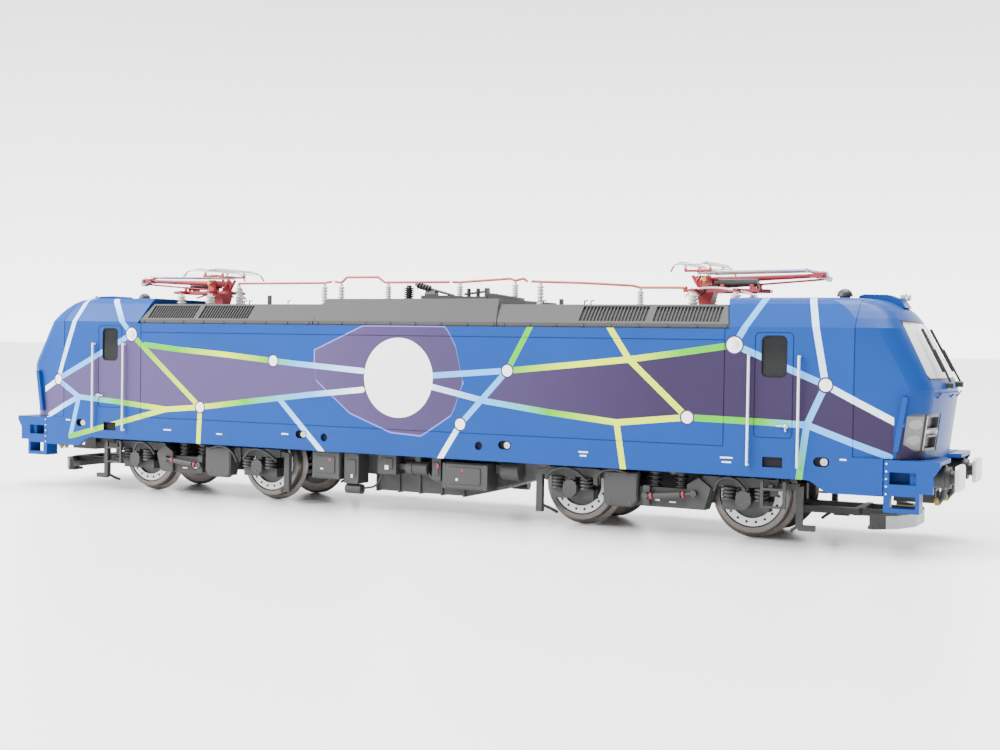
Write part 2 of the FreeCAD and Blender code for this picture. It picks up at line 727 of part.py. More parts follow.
def buffer_head(side):
    """Sprung buffer head: wide plate on a plunger that slides in the sleeve."""
    y = side * BUFFER_Y
    back_x = BUFFER_HEAD_X - 0.75
    plate = rounded_rect_x(y - 3.75, y + 3.75, BUFFER_Z - 2.2, BUFFER_Z + 2.2, 1.0, back_x, BUFFER_HEAD_X)
    edges = [e for e in plate.Edges if e.BoundBox.XMin > BUFFER_HEAD_X - 0.01]
    plate = plate.makeFillet(0.3, edges)
    boss = cone(1.6, 2.1, 0.35, (BUFFER_HEAD_X - 1.05, y, BUFFER_Z), (1, 0, 0))
    plunger = cyl(PLUNGER_R, 6.2, (BUFFER_HEAD_X - 7.0, y, BUFFER_Z), (1, 0, 0))
    return fused([plate, boss, plunger])


# ---------------------------------------------------------------- roof
def hatch(x0, x1, x0_top, x1_top, z_top, grilles):
    """One roof hatch: a hollow trough-shaped cover with sloping sides and ends."""
    def solid(inset):
        z = z_top - inset
        across = [
            (-HATCH_FOOT_Y + inset, DECK_Z),
            (HATCH_FOOT_Y - inset, DECK_Z),
            (HATCH_FOOT_Y - inset, DECK_Z + HATCH_RIM),
            (HATCH_EDGE_Y - inset * 0.6, z),
            (-HATCH_EDGE_Y + inset * 0.6, z),
            (-HATCH_FOOT_Y + inset, DECK_Z + HATCH_RIM),
        ]
        along = [(x0 + inset, DECK_Z), (x1 - inset, DECK_Z), (x1_top - inset, z), (x0_top + inset, z)]
        return prism_x(across, x0 - 1, x1 + 1).common(prism_y(along, -BEYOND, BEYOND))

    shell = solid(0.0).cut(solid(HATCH_WALL))
    rise, run = z_top - DECK_Z - HATCH_RIM, HATCH_FOOT_Y - HATCH_EDGE_Y
    tilt, length = math.atan2(rise, run), math.hypot(rise, run)
    extras, cuts = [], []
    for side in (-1, 1):
        for gx0, gx1 in grilles:
            pocket = box(gx0, gx1, GRILLE_MARGIN, length - GRILLE_MARGIN, -GRILLE_DEPTH, 2.0)
            slats = int((gx1 - gx0) / SLAT_PITCH)
            bars = []
            for i in range(1, slats):
                x = gx0 + i * (gx1 - gx0) / slats
                bars.append(box(x - SLAT_WIDTH / 2, x + SLAT_WIDTH / 2, 0.0, length, -GRILLE_DEPTH, -0.1))
            cuts.append(on_slope(pocket.cut(bars), tilt, side))
        count = int((x1 - x0 - 2.0) // CLIP_PITCH)
        pitch = (x1 - x0 - 2.0) / count
        for i in range(count + 1):
            x = x0 + 1.0 + i * pitch
            ys = sorted((side * (HATCH_FOOT_Y - 0.2), side * (HATCH_FOOT_Y + 0.12)))
            clip_x = (max(x - CLIP_HALF, x0 + 0.05), min(x + CLIP_HALF, x1 - 0.05))
            extras.append(box(*clip_x, *ys, DECK_Z + 0.15, DECK_Z + 0.7))
    shell = fused([shell] + extras)
    return shell.cut(cuts) if cuts else shell


def on_slope(shape, tilt, side):
    """Puts a piece modelled flat (X along, Y up the slope, Z out of it) onto a hatch's sloping side."""
    placed = shape.copy()
    placed.rotate(V(0, 0, 0), V(1, 0, 0), math.degrees(tilt))
    placed.translate(V(0, -HATCH_FOOT_Y, DECK_Z + HATCH_RIM))
    return placed if side < 0 else mirror_y(placed)


def roof_hatches():
    """The front, centre and rear roof hatches."""
    foot = (HATCH_SPLIT_X + HATCH_GAP, HATCH_END_X - HATCH_GAP)
    crown = (HATCH_SPLIT_TOP_X + HATCH_GAP, HATCH_END_TOP_X - HATCH_GAP)
    front = hatch(*foot, *crown, OUTER_HATCH_Z, OUTER_GRILLES)
    half_foot, half_crown = HATCH_SPLIT_X - HATCH_GAP, HATCH_SPLIT_TOP_X - HATCH_GAP
    centre = hatch(-half_foot, half_foot, -half_crown, half_crown, CENTRE_HATCH_Z, [])
    return front, centre, half_turn(front)


def insulator(x, y, z0, height, r=0.75, ribs=5):
    """Ribbed post insulator with a foot and a cap."""
    outline = [(0.0, 0.0), (0.0, r * 0.95), (0.25, r * 0.95)]
    pitch = (height - 0.7) / ribs
    for i in range(ribs):
        z = 0.3 + i * pitch
        outline += [(z, r * 0.55), (z + pitch * 0.25, r), (z + pitch * 0.6, r), (z + pitch * 0.85, r * 0.55)]
    outline += [(height - 0.35, r * 0.5), (height, r * 0.5), (height, 0.0)]
    return revolve_about(outline, (x, y, z0), (0, 0, 1), (1, 0, 0))


def hatch_top_at(x):
    """Height of the hatch top at x."""
    return CENTRE_HATCH_Z if abs(x) < HATCH_SPLIT_TOP_X else OUTER_HATCH_Z


def roof_insulators():
    """Posts under the busbar and under both pantograph frames."""
    posts = []
    for x, bus_z in BUS_POSTS:
        z0 = hatch_top_at(x)
        posts.append(insulator(x, 0.0, z0, bus_z - BUS_R - 0.03 - z0, 0.72, 6))
    for sign in (-1, 1):
        for px, py in ((58.35, 5.6), (58.35, -5.6), (66.75, 5.6), (66.75, -5.6)):
            posts.append(insulator(sign * px, py, OUTER_HATCH_Z, PANTO_BASE_Z[0] - OUTER_HATCH_Z, 1.05, 3))
    return posts


def roof_busbar():
    """The high-voltage line: round conductors carried by the posts, one solid per run."""
    rail = PANTO_BASE_Z[1] + BUS_R
    posts = [(px, 0, pz) for px, pz in BUS_POSTS]
    runs = [
        [(-56.2, 3.4, rail), (-55.6, 1.6, 47.8), posts[0], posts[1], (-28.6, 0, 48.7)],
        [(-27.8, 0, 48.7), posts[2], (-24.6, 0, 49.6), (-16.4, 0, 49.6), (-14.6, 0, 48.4), posts[3],
         (1.6, 0, 48.4)],
        [(2.4, 0, 48.4), posts[4], (5.4, 0, 48.4), (16.2, 0, 49.0), posts[5], (19.3, 0, 49.0),
         (20.2, 0, 48.4)],
        [(21.2, 0, 48.4), posts[6], (33.0, 0, 48.0), (43.6, 0, 47.4), posts[7], (52.5, -1.5, 46.9),
         (56.2, -3.4, rail)],
    ]
    return [rod(points, BUS_R) for points in runs]


def circuit_breaker():
    """Main circuit breaker: base block, drum and a slanting arm with its sheds."""
    z = CENTRE_HATCH_Z
    block = box(-2.6, 5.4, -4.8, -1.2, z, z + 1.0)
    drum = cyl(0.95, 2.4, (-2.2, BREAKER_Y, z + 1.2), (1, 0, 0))
    foot, tip = V(4.4, BREAKER_Y, z + 1.0), V(-5.0, BREAKER_Y, z + 3.4)
    arm = rod([tuple(foot), tuple(tip)], 0.28)
    sheds = []
    for i in range(5):
        at = foot + (tip - foot) * (0.62 + 0.07 * i)
        sheds.append(Part.makeCylinder(0.72, 0.24, at, tip - foot))
    return fused([block, drum, arm] + sheds)


def earthing_switch():
    """Earthing switch: base, two round posts, a square post and the link over them."""
    z = CENTRE_HATCH_Z
    base = box(6.8, 13.2, -4.6, -1.4, z, z + 0.8)
    posts = [cyl(0.42, 1.9, (x, BREAKER_Y, z + 0.6)) for x in (8.0, 10.2)]
    post = box(12.0, 12.7, -3.6, -2.4, z + 0.6, z + 2.6)
    link = rod([(7.0, BREAKER_Y, z + 1.3), (12.3, BREAKER_Y, z + 1.9)], 0.25)
    return fused([base, post, link] + posts)


def roof_dome(x, y):
    """Aerial dome on a round foot."""
    foot = cyl(0.95, 0.5, (x, y, ROOF_Z))
    dome = Part.makeSphere(DOME_R, V(x, y, ROOF_Z + 0.45), V(0, 0, 1), 0, 90, 360)
    return fused([foot, dome])


def roof_equipment():
    """Circuit breaker, earthing switch, surge arrester, aerials and cab-roof domes, in dark grey."""
    z, low_z = CENTRE_HATCH_Z, OUTER_HATCH_Z
    pieces = [insulator(-8.4, 0.0, z, 3.4, 1.15, 6), circuit_breaker(), earthing_switch()]
    # sloping cover over the cable entry
    pieces.append(prism_y([(13.6, z), (20.2, z), (20.2, z + 0.5), (13.6, z + 1.5)], -5.0, -1.2))
    for x, y, height in ((-41.2, -6.0, 2.2), (31.0, -6.5, 1.3)):
        pieces.append(box(x - 0.35, x + 0.35, y - 0.35, y + 0.35, low_z, low_z + height))
    for x in LIFTING_EYE_XS:
        eye = [(x, -7.6, low_z), (x, -7.6, low_z + 0.8), (x + 0.7, -7.6, low_z + 1.0)]
        pieces.append(rod(eye, 0.13))
    pieces += [roof_dome(sign * DOME_X, -sign * DOME_Y) for sign in (-1, 1)]
    return pieces


# ---------------------------------------------------------------- pantographs
def tapered_foot(x, half_top, half_bottom, z_bottom, z_top):
    """Tapered foot under the base frame."""
    top = [(x - half_top, z_top), (x + half_top, z_top)]
    bottom = [(x + half_bottom, z_bottom), (x - half_bottom, z_bottom)]
    return prism_y(top + bottom, -1.5, 1.5)


def panto_base():
    """Base frame with arm bearings, rod lugs, head rests, a foot and the raising cylinder."""
    z0, z1 = PANTO_BASE_Z
    x0, x1 = PANTO_RAIL_X
    px, pz = PANTO_PIVOT
    rx, rz = PANTO_ROD_PIVOT
    pieces = [
        prism_z([(x1 - 0.4, -3.8), (x1 + 1.4, -0.9), (x1 + 1.4, 0.9), (x1 - 0.4, 3.8)], z0, z1),
        box(rx - 0.5, rx + 0.5, -PANTO_RAIL_Y, PANTO_RAIL_Y, z0, z1),
        box(69.2, 70.0, -PANTO_RAIL_Y, PANTO_RAIL_Y, z0, z1),
        tapered_foot(PANTO_FOOT_X, 1.8, 1.0, OUTER_HATCH_Z, z0 + 0.1),
    ]
    pieces += [box(x, x + 0.9, -6.4, 6.4, z0, z1) for x in (57.9, 66.3)]
    for s in (-1, 1):
        rail_y = s * PANTO_RAIL_Y
        pieces.append(box(x0, x1, rail_y - 0.45, rail_y + 0.45, z0, z1))
        pieces.append(box(px - 0.8, px + 0.8, *sorted((s * 2.5, s * 3.4)), z0, pz + 0.75))
        pieces.append(box(rx - 0.5, rx + 0.5, *sorted((s * 0.4, s * 0.95)), z0, rz + 0.4))
        pieces.append(box(69.3, 69.9, *sorted((s * 0.5, s * 0.95)), z0, 47.7))
        pieces.append(rod([(58.4, s * 1.2, z1 - 0.2), (57.3, s * 1.2, 48.0), (56.6, s * 1.2, 49.2)], 0.34))
        pieces.append(rod([(57.3, s * 1.2, 48.0), (58.3, s * 1.2, 49.2)], 0.3))
    length = CYLINDER_X[1] - CYLINDER_X[0]
    pieces.append(cyl(CYLINDER_R, length, (CYLINDER_X[0], CYLINDER_Y, CYLINDER_Z), (1, 0, 0)))
    pieces.append(cyl(0.3, 1.2, (CYLINDER_X[0] - 0.9, CYLINDER_Y, CYLINDER_Z), (1, 0, 0)))
    for x in (62.8, 68.6):
        pieces.append(box(x, x + 0.8, -3.2, -1.4, z1 - 0.2, 47.4))
    frame = fused(pieces)
    bearing_bore = cyl(0.42, 10.0, (px, -5.0, pz), (0, 1, 0))
    lug_bore = cyl(0.23, 4.0, (rx, -2.0, rz), (0, 1, 0))
    eye_room = box(rx - 0.9, rx + 0.9, -0.4, 0.4, z1 - 0.3, pz)
    return cut(frame, [bearing_bore, lug_bore, eye_room])


def along(a, b, share):
    """The point a given share of the way from a to b."""
    return (a[0] + (b[0] - a[0]) * share, a[1] + (b[1] - a[1]) * share)


def panto_lower_arm():
    """Lower arm: cross tube on the base bearings, main tube and knee fork."""
    (px, pz), (kx, kz) = PANTO_PIVOT, PANTO_KNEE
    shaft = cyl(0.38, 7.4, (px, -3.7, pz), (0, 1, 0))
    hub = cyl(0.7, 4.2, (px, -2.1, pz), (0, 1, 0))
    mx, mz = along(PANTO_PIVOT, PANTO_KNEE, 0.93)
    start = V(px, 0, pz)
    tube = Part.makeCone(0.66, 0.4, (V(mx, 0, mz) - start).Length, start, V(mx, 0, mz) - start)
    yoke = box(mx - 0.8, mx + 0.5, -1.5, 1.5, mz - 0.36, mz + 0.14)
    ears = []
    for s in (-1, 1):
        ys = sorted((s * 0.95, s * 1.5))
        ears.append(box(mx - 0.2, kx + 0.5, *ys, mz - 0.45, kz + 0.45))
    knee_pin = cyl(0.33, 3.6, (kx, -1.8, kz), (0, 1, 0))
    return fused([shaft, hub, tube, yoke, knee_pin] + ears)


def panto_upper_arm():
    """Upper arm: knee hub with a slotted lever for the thrust rod, two tubes, a tie and head bearings."""
    (kx, kz), (hx, hz), (qx, qz) = PANTO_KNEE, PANTO_HEAD, PANTO_ROD_END
    hub = cyl(0.8, 1.7, (kx, -0.85, kz), (0, 1, 0))
    lever_eye = cyl(0.5, 1.7, (qx, -0.85, qz), (0, 1, 0))
    lever_web = prism_y([(kx, kz - 0.7), (qx, qz - 0.5), (qx, qz + 0.5), (kx, kz + 0.5)], -0.85, 0.85)
    lever = fused([lever_eye, lever_web])
    slot = box(kx - 1.5, kx + 2.5, -0.29, 0.29, kz - 1.6, kz - 0.1)
    hub = fused([hub, lever]).cut([slot, cyl(0.37, 4.0, (kx, -2.0, kz), (0, 1, 0))])
    fork_x, fork_z = kx - 3.0, kz + 0.95
    neck = rod([(kx - 0.5, 0, kz + 0.5), (fork_x, 0, fork_z)], 0.4)
    neck = neck.cut(cyl(0.6, 4.0, (kx, -2.0, kz), (0, 1, 0)))
    cross = cyl(0.34, 3.6, (fork_x, -1.8, fork_z), (0, 1, 0))
    tubes = [rod([(fork_x, s * 1.6, fork_z), (hx + 1.2, s * ARM_END_Y, hz - 0.15)], 0.32) for s in (-1, 1)]
    tie = cyl(0.28, 6.6, (hx + 1.2, -3.3, hz - 0.15), (0, 1, 0))
    ears = []
    for s in (-1, 1):
        ears.append(box(hx - 0.4, hx + 1.4, s * ARM_END_Y - 0.3, s * ARM_END_Y + 0.3, hz - 0.42, hz + 0.42))
    arm = fused([hub, neck, cross, tie] + tubes + ears)
    return arm.cut(cyl(0.25, 9.0, (hx, -4.5, hz), (0, 1, 0)))


def panto_head():
    """Collector head: pivot shaft, two contact strips and their down-turned horns."""
    hx, hz = PANTO_HEAD
    top = hz + 1.25
    shaft = cyl(0.2, 8.2, (hx, -4.1, hz), (0, 1, 0))
    pieces = [shaft]
    for s in (-1, 1):
        pieces.append(box(hx - 2.7, hx + 2.7, s * 4.0 - 0.2, s * 4.0 + 0.2, hz - 0.2, hz + 0.25))
        for dx in (-STRIP_DX, STRIP_DX):
            pieces.append(box(hx + dx - 0.22, hx + dx + 0.22, s * 4.0 - 0.22, s * 4.0 + 0.22, hz, top))
    for dx in (-STRIP_DX, STRIP_DX):
        pieces.append(box(hx + dx - 0.42, hx + dx + 0.42, -6.6, 6.6, top - 0.12, top + 0.42))
    for s in (-1, 1):
        for dx in (-STRIP_DX, STRIP_DX):
            route = [
                (hx + dx, s * 6.4, top),
                (hx + dx, s * 8.6, top),
                (hx + dx * 1.05, s * 10.0, top - 0.45),
                (hx + dx * 1.15, s * HEAD_HALF_WIDTH, top - 1.7),
            ]
            pieces.append(rod(route, 0.17))
        pieces.append(rod([(hx - 2.6, s * 9.3, top - 0.22), (hx + 2.6, s * 9.3, top - 0.22)], 0.14))
    return fused(pieces)


def panto_rod():
    """Thrust rod under the lower arm, with an eye at each end."""
    rx, rz = PANTO_ROD_PIVOT
    end = PANTO_ROD_END
    eye = cyl(0.48, 0.7, (rx, -0.35, rz), (0, 1, 0))
    pin = cyl(0.2, 1.9, (rx, -0.95, rz), (0, 1, 0))
    bar = rod([(rx, 0, rz), (end[0], 0, end[1])], 0.2)
    tip = cyl(0.36, 0.5, (end[0], -0.25, end[1]), (0, 1, 0))
    return fused([eye, pin, bar, tip])


# ---------------------------------------------------------------- chassis and inside
def chassis_frame():
    """Cast frame: middle trough for the motor, raised decks over the bogies and end tongues."""
    trough = box(-27.0, 27.0, -12.0, 12.0, *TROUGH_Z)
    rooms = [
        box(-14.6, 14.6, -MOTOR_HALF_WIDTH, MOTOR_HALF_WIDTH, 6.0, 27.0),
        box(14.6, 22.4, -7.2, 7.2, 6.0, 27.0),
        box(-22.4, -14.6, -7.2, 7.2, 6.0, 27.0),
        box(-30.0, 30.0, -3.0, 3.0, 6.0, 27.0),
    ]
    trough = cut(trough, rooms)
    pieces = [trough]
    for s in (-1, 1):
        pieces.append(box(-96.0, 96.0, *sorted((s * 12.0, s * 14.6)), 17.6, CHASSIS_TOP_Z))
        for x in (-64.0, -30.0, 30.0, 64.0):
            inside = BODY_HALF_WIDTH - WALL
            pieces.append(box(x - 2.0, x + 2.0, *sorted((s * 14.0, s * inside)), 19.0, 23.0))
    for x in (-BOGIE_PIVOT_X, BOGIE_PIVOT_X):
        pieces.append(box(x - 9.0, x + 9.0, -12.5, 12.5, *FRAME_DECK_Z))
    end_pieces = [
        box(86.0, TONGUE_END_X, -8.4, 8.4, 12.6, 15.4),
        box(86.0, 91.5, -12.5, 12.5, 15.0, 20.0),
        box(86.0, 96.0, -12.5, 12.5, 19.0, 22.0),
    ]
    pieces += end_pieces + [mirror_x(p) for p in end_pieces]
    frame = fused(pieces)
    holes = [cyl(PIVOT_HOLE_R, 8.0, (x, 0, 21.0)) for x in (-BOGIE_PIVOT_X, BOGIE_PIVOT_X)]
    wells = [cyl(SCREW_HOLE_R, 12.0, (x, y, 15.6)) for x in (-SCREW_X, SCREW_X) for y in (-SCREW_Y, SCREW_Y)]
    coupler_pin = [cyl(0.75, 5.0, (x, 0, 11.5)) for x in (-COUPLER_PIN_X, COUPLER_PIN_X)]
    return frame.cut(fused(holes + wells + coupler_pin))


def body_screws():
    """Screws that hold the frame to the cab mouldings."""
    screws = []
    for x in (-SCREW_X, SCREW_X):
        for y in (-SCREW_Y, SCREW_Y):
            shank = cyl(0.65, 5.4, (x, y, 18.9))
            head = cyl(1.15, 0.8, (x, y, 18.2))
            slot = box(x - 1.3, x + 1.3, y - 0.15, y + 0.15, 18.1, 18.5)
            screws.append(fused([head, shank]).cut(slot))
    return screws


def motor_can():
    """Flat-sided can motor with end bells, hollow for its rotor."""
    half, z = MOTOR_HALF_LENGTH, DRIVE_Z
    body = cyl(MOTOR_R, 2 * half, (-half, 0, z), (1, 0, 0))
    flat = box(-half, half, -MOTOR_HALF_WIDTH, MOTOR_HALF_WIDTH, z - MOTOR_R, z + MOTOR_R)
    can = body.common(flat)
    bells = [cyl(3.0, 1.4, (x, 0, z), (1, 0, 0)) for x in (-half - 1.4, half)]
    hollow = cyl(ROTOR_ROOM_R, 23.0, (-11.5, 0, z), (1, 0, 0))
    bore = cyl(SHAFT_R + 0.1, 40.0, (-20.0, 0, z), (1, 0, 0))
    return fused([can] + bells).cut(fused([hollow, bore]))


def drive_shaft():
    """Rotor on its shaft, two flywheels and the cardan rods with their balls, all turning as one."""
    z = DRIVE_Z
    rotor = cyl(ROTOR_R, 18.0, (-9.0, 0, z), (1, 0, 0)).cut([rotor_slot(72.0 * i) for i in range(5)])
    core = fused([cyl(SHAFT_R, 46.0, (-23.0, 0, z), (1, 0, 0)), rotor])
    rim = cyl(FLYWHEEL_R, 6.0, (15.4, 0, z), (1, 0, 0))
    hub = cyl(1.8, 2.4, (21.3, 0, z), (1, 0, 0))
    flywheel = fused([rim, hub]).cut(cyl(SHAFT_R, 12.0, (12.0, 0, z), (1, 0, 0)))
    end = BOGIE_PIVOT_X - CUP_X
    sleeve = cyl(1.8, 3.6, (23.7, 0, z), (1, 0, 0))
    tube = cyl(0.9, end - 29.7, (26.0, 0, z), (1, 0, 0))
    neck = cyl(0.38, 4.6, (end - 4.6, 0, z), (1, 0, 0))
    ball = Part.makeSphere(0.6, V(end, 0, z))
    cardan = fused([sleeve, tube, neck, ball])
    return [core, flywheel, half_turn(flywheel), cardan, half_turn(cardan)]


def rotor_slot(angle):
    """Cutter for one slot of the rotor."""
    slot = box(-10.0, 10.0, 3.2, 7.0, DRIVE_Z - 0.5, DRIVE_Z + 0.5)
    slot.rotate(V(0, 0, DRIVE_Z), V(1, 0, 0), angle)
    return slot


def circuit_board():
    """Main board over the motor with its decoder, connector and lamp boards."""
    board = box(-60.0, 60.0, -9.5, 9.5, 29.0, 30.0)
    decoder = box(-14.0, 14.0, -7.2, 7.2, 31.4, 33.6)
    plug = box(-12.0, -8.0, -6.0, 6.0, 30.0, 31.4)
    parts = [box(x, x + 2.4, y, y + 1.6, 30.0, 30.8) for x in range(-54, -20, 6) for y in (-6.0, 4.0)]
    chips = [box(x, x + 4.0, -2.0, 2.0, 30.0, 31.0) for x in (22.0, 34.0, 46.0)]
    corners = [(x, y) for x in (-24.0, 24.0) for y in (-9.0, 9.0)]
    pillars = [box(x - 1.0, x + 1.0, y - 1.4, y + 1.4, TROUGH_Z[1], 29.0) for x, y in corners]
    return [fused([board, plug] + parts + chips + pillars), decoder]


def cab_interior():
    """Cab floor, desk, seat and back wall at +X."""
    floor = box(73.4, 99.0, -14.0, 14.0, CHASSIS_TOP_Z, 28.2)
    wall = box(72.4, 73.5, -14.0, 14.0, CHASSIS_TOP_Z, 37.2)
    desk = prism_y([(96.0, 28.2), (100.6, 28.2), (100.6, 31.2), (97.6, 31.8), (95.4, 31.0)], -9.0, 9.0)
    seats = []
    for y in (-5.0, 5.0):
        cushion = box(87.0, 90.6, y - 1.9, y + 1.9, 30.0, 30.9)
        backrest = box(86.3, 87.2, y - 1.9, y + 1.9, 30.0, 34.6)
        post = cyl(0.6, 2.0, (88.8, y, 28.1))
        seats.append(fused([cushion, backrest, post]))
    bosses = [cyl(1.7, 5.1, (SCREW_X, y, 22.0)) for y in (-SCREW_Y, SCREW_Y)]
    holes = [cyl(SCREW_HOLE_R, 3.2, (SCREW_X, y, 21.5)) for y in (-SCREW_Y, SCREW_Y)]
    return fused([floor, wall, desk] + seats + bosses).cut(holes)


def cab_interiors():
    """Both cab interiors."""
    front = cab_interior()
    return [front, half_turn(front)]


def underfloor_tank():
    """Transformer tank between the bogies, hollow above for the motor."""
    top = TROUGH_Z[0]
    outline = [(-21.8, 8.2), (-8.8, 7.4), (-8.8, 4.2), (12.8, 4.2), (21.6, 6.9), (21.6, top), (-21.8, top)]
    tank = prism_y(outline, -11.4, 11.4)
    ribs = []
    for x in TANK_RIB_XS:
        ribs.append(prism_y([(x, 4.0), (x + 0.45, 4.0), (x + 0.45, 11.0), (x, 11.0)], -11.75, 11.75))
    whole = fused([tank] + ribs)
    motor_room = box(-15.0, 15.0, -8.4, 8.4, 8.9, 13.0)
    return whole.cut(fused([motor_room, box(-22.5, 22.5, -6.2, 6.2, 11.0, 13.0)]))


def side_equipment():
    """Boxes, compressor drum and air vessels hung along the -Y side between the bogies."""
    y0, y1 = -15.4, -11.4
    pieces = []
    first = box(-22.2, -15.2, y0 - 0.4, y1, 6.3, 12.1)
    pieces.append(fused([first, box(-22.0, -15.4, y0 - 0.55, y0, 6.6, 11.8)]))
    small = box(-14.4, -10.9, y0, y1, 5.6, 11.9)
    vessel = cyl(1.05, 3.8, (-14.6, -13.9, 4.4), (1, 0, 0))
    stalk = box(-13.2, -12.2, -14.3, -13.3, 4.6, 5.7)
    pieces.append(fused([small, vessel, stalk]))
    big = box(9.6, 19.8, y0 - 0.6, y1, 6.0, 11.4)
    edges = [e for e in big.Edges if e.BoundBox.XLength > 9 and e.BoundBox.YMax < y0]
    pieces.append(big.makeChamfer(0.35, edges))
    back = box(-6.6, -2.2, y0 + 0.8, y1, 8.0, 12.1)
    drum = cyl(1.45, 5.0, (0.3, -13.7, 9.6), (1, 0, 0))
    ring = cyl(1.6, 0.6, (1.2, -13.7, 9.6), (1, 0, 0))
    hanger = box(2.2, 3.4, -14.3, y1, 9.4, 12.1)
    bridge = box(-2.4, 0.5, -13.4, y1, 9.0, 10.2)
    pieces.append(fused([back, drum, ring, hanger, bridge]))
    pieces.append(box(6.6, 8.6, y0 + 0.4, y1, 7.4, 12.1))
    tank = cyl(1.9, 3.9, (22.0, -13.0, 10.2), (1, 0, 0))
    strap = box(20.4, 24.2, -13.4, y1, 9.4, 11.2)
    pieces.append(fused([tank, strap]))
    return pieces


def equipment_boxes():
    """The side equipment on both sides, each piece cut to sit against the tank."""
    tank = underfloor_tank()
    side = side_equipment()
    return [piece.cut(tank) for piece in side + [half_turn(p) for p in side]]


def coupler_pocket():
    """Sprung coupling pocket on its pivot pin, with a slot for a plug-in coupler head."""
    pin = cyl(0.7, 3.4, (COUPLER_PIN_X, 0, 10.6))
    tail = box(91.0, 97.0, -1.3, 1.3, 9.4, 10.7)
    eye = cyl(1.7, 1.3, (COUPLER_PIN_X, 0, 9.4))
    housing = box(96.0, 103.4, -2.3, 2.3, 7.9, 10.6)
    slot = box(98.0, 104.0, -1.6, 1.6, 8.4, 10.1)
    side_windows = box(99.6, 101.0, -3.0, 3.0, 8.8, 9.7)
    return fused([pin, tail, eye, housing]).cut(fused([slot, side_windows]))


# ---------------------------------------------------------------- gears and wheels
def gear(centre_x, centre_z, bore_r, phase, teeth=GEAR_TEETH, width=GEAR_WIDTH):
    """Spur gear about a Y axis. phase turns it by that share of one tooth pitch."""
    pitch_r = GEAR_MODULE * teeth / 2
    tip, root = pitch_r + 0.86 * GEAR_MODULE, pitch_r - 1.12 * GEAR_MODULE
    step = 2 * math.pi / teeth
    outline = []
    for i in range(teeth):
        for r, share in ((root, -0.315), (tip, -0.12), (tip, 0.12), (root, 0.315)):
            a = (i + phase + share) * step
            outline.append((centre_x + r * math.cos(a), centre_z + r * math.sin(a)))
    solid = prism_y(outline, -width / 2, width / 2)
    if bore_r:
        solid = solid.cut(cyl(bore_r, 2 * width, (centre_x, -width, centre_z), (0, 1, 0)))
    return solid


def idler_centre(side):
    """(x, z) of the idler between the centre gear and the axle gear on one side, in bogie coordinates."""
    ax, az = side * HALF_WHEELBASE, AXLE_Z
    cx, cz = 0.0, CENTRE_GEAR_Z
    mx, mz = (ax + cx) / 2, (az + cz) / 2
    d = math.hypot(ax - cx, az - cz)
    h = math.sqrt(GEAR_CENTRE_DISTANCE**2 - d * d / 4)
    nx, nz = (cz - az) / d, (ax - cx) / d
    sign = 1 if nz > 0 else -1
    return mx + sign * nx * h, mz + sign * nz * h


def tooth_share(a, b, phase_a):
    """Phase of a gear at b that meshes with the gear at a of phase_a. Both have GEAR_TEETH teeth."""
    step = 2 * math.pi / GEAR_TEETH
    towards = math.atan2(b[1] - a[1], b[0] - a[0])
    back = towards + math.pi
    offset = towards / step - phase_a
    return back / step + offset + 0.5


CENTRE_PHASE = math.pi / 2 / (2 * math.pi / GEAR_TEETH) + 0.5


def wheel(side):
    """One wheel: tyre with flange, web, hub and a brake disc ring with its bolt holes on the outer face."""
    back = WHEEL_BACK_Y
    face = back + WHEEL_WIDTH
    flange_r = AXLE_Z
    outline = [
        (back, AXLE_R),
        (back, flange_r - 0.55),
        (back + 0.22, flange_r),
        (back + 0.5, flange_r),
        (back + 0.85, TREAD_R + 0.12),
        (face - 0.2, TREAD_R),
        (face, TREAD_R - 0.2),
        (face, 6.15),
        (face - 0.3, 6.0),
        (face - 0.3, 5.9),
        (face - 0.12, 5.85),
        (face - 0.12, 4.35),
        (face - 0.6, 4.3),
        (face - 0.6, 2.4),
        (face - 0.1, 2.2),
        (face - 0.1, AXLE_R),
    ]
    solid = revolve_about(outline, (0, 0, AXLE_Z), (0, 1, 0), (1, 0, 0))
    holes = []
    for i in range(BOLT_HOLES):
        a = 2 * math.pi * i / BOLT_HOLES
        at = (BOLT_CIRCLE_R * math.cos(a), face - 0.32, AXLE_Z + BOLT_CIRCLE_R * math.sin(a))
        holes.append(cyl(BOLT_HOLE_R, 0.3, at, (0, 1, 0)))
    solid = solid.cut(holes)
    return solid if side > 0 else mirror_y(solid)


def wheelset(phase):
    """Axle with its gear, and the two wheels pressed on it."""
    axle = cyl(AXLE_R, 21.4, (0, -10.7, AXLE_Z), (0, 1, 0))
    collars = [cyl(1.6, 1.2, (0, y, AXLE_Z), (0, 1, 0)) for y in (-7.1, 5.9)]
    core = fused([axle, gear(0, AXLE_Z, 0, phase)] + collars)
    return [core, wheel(-1), wheel(1)]


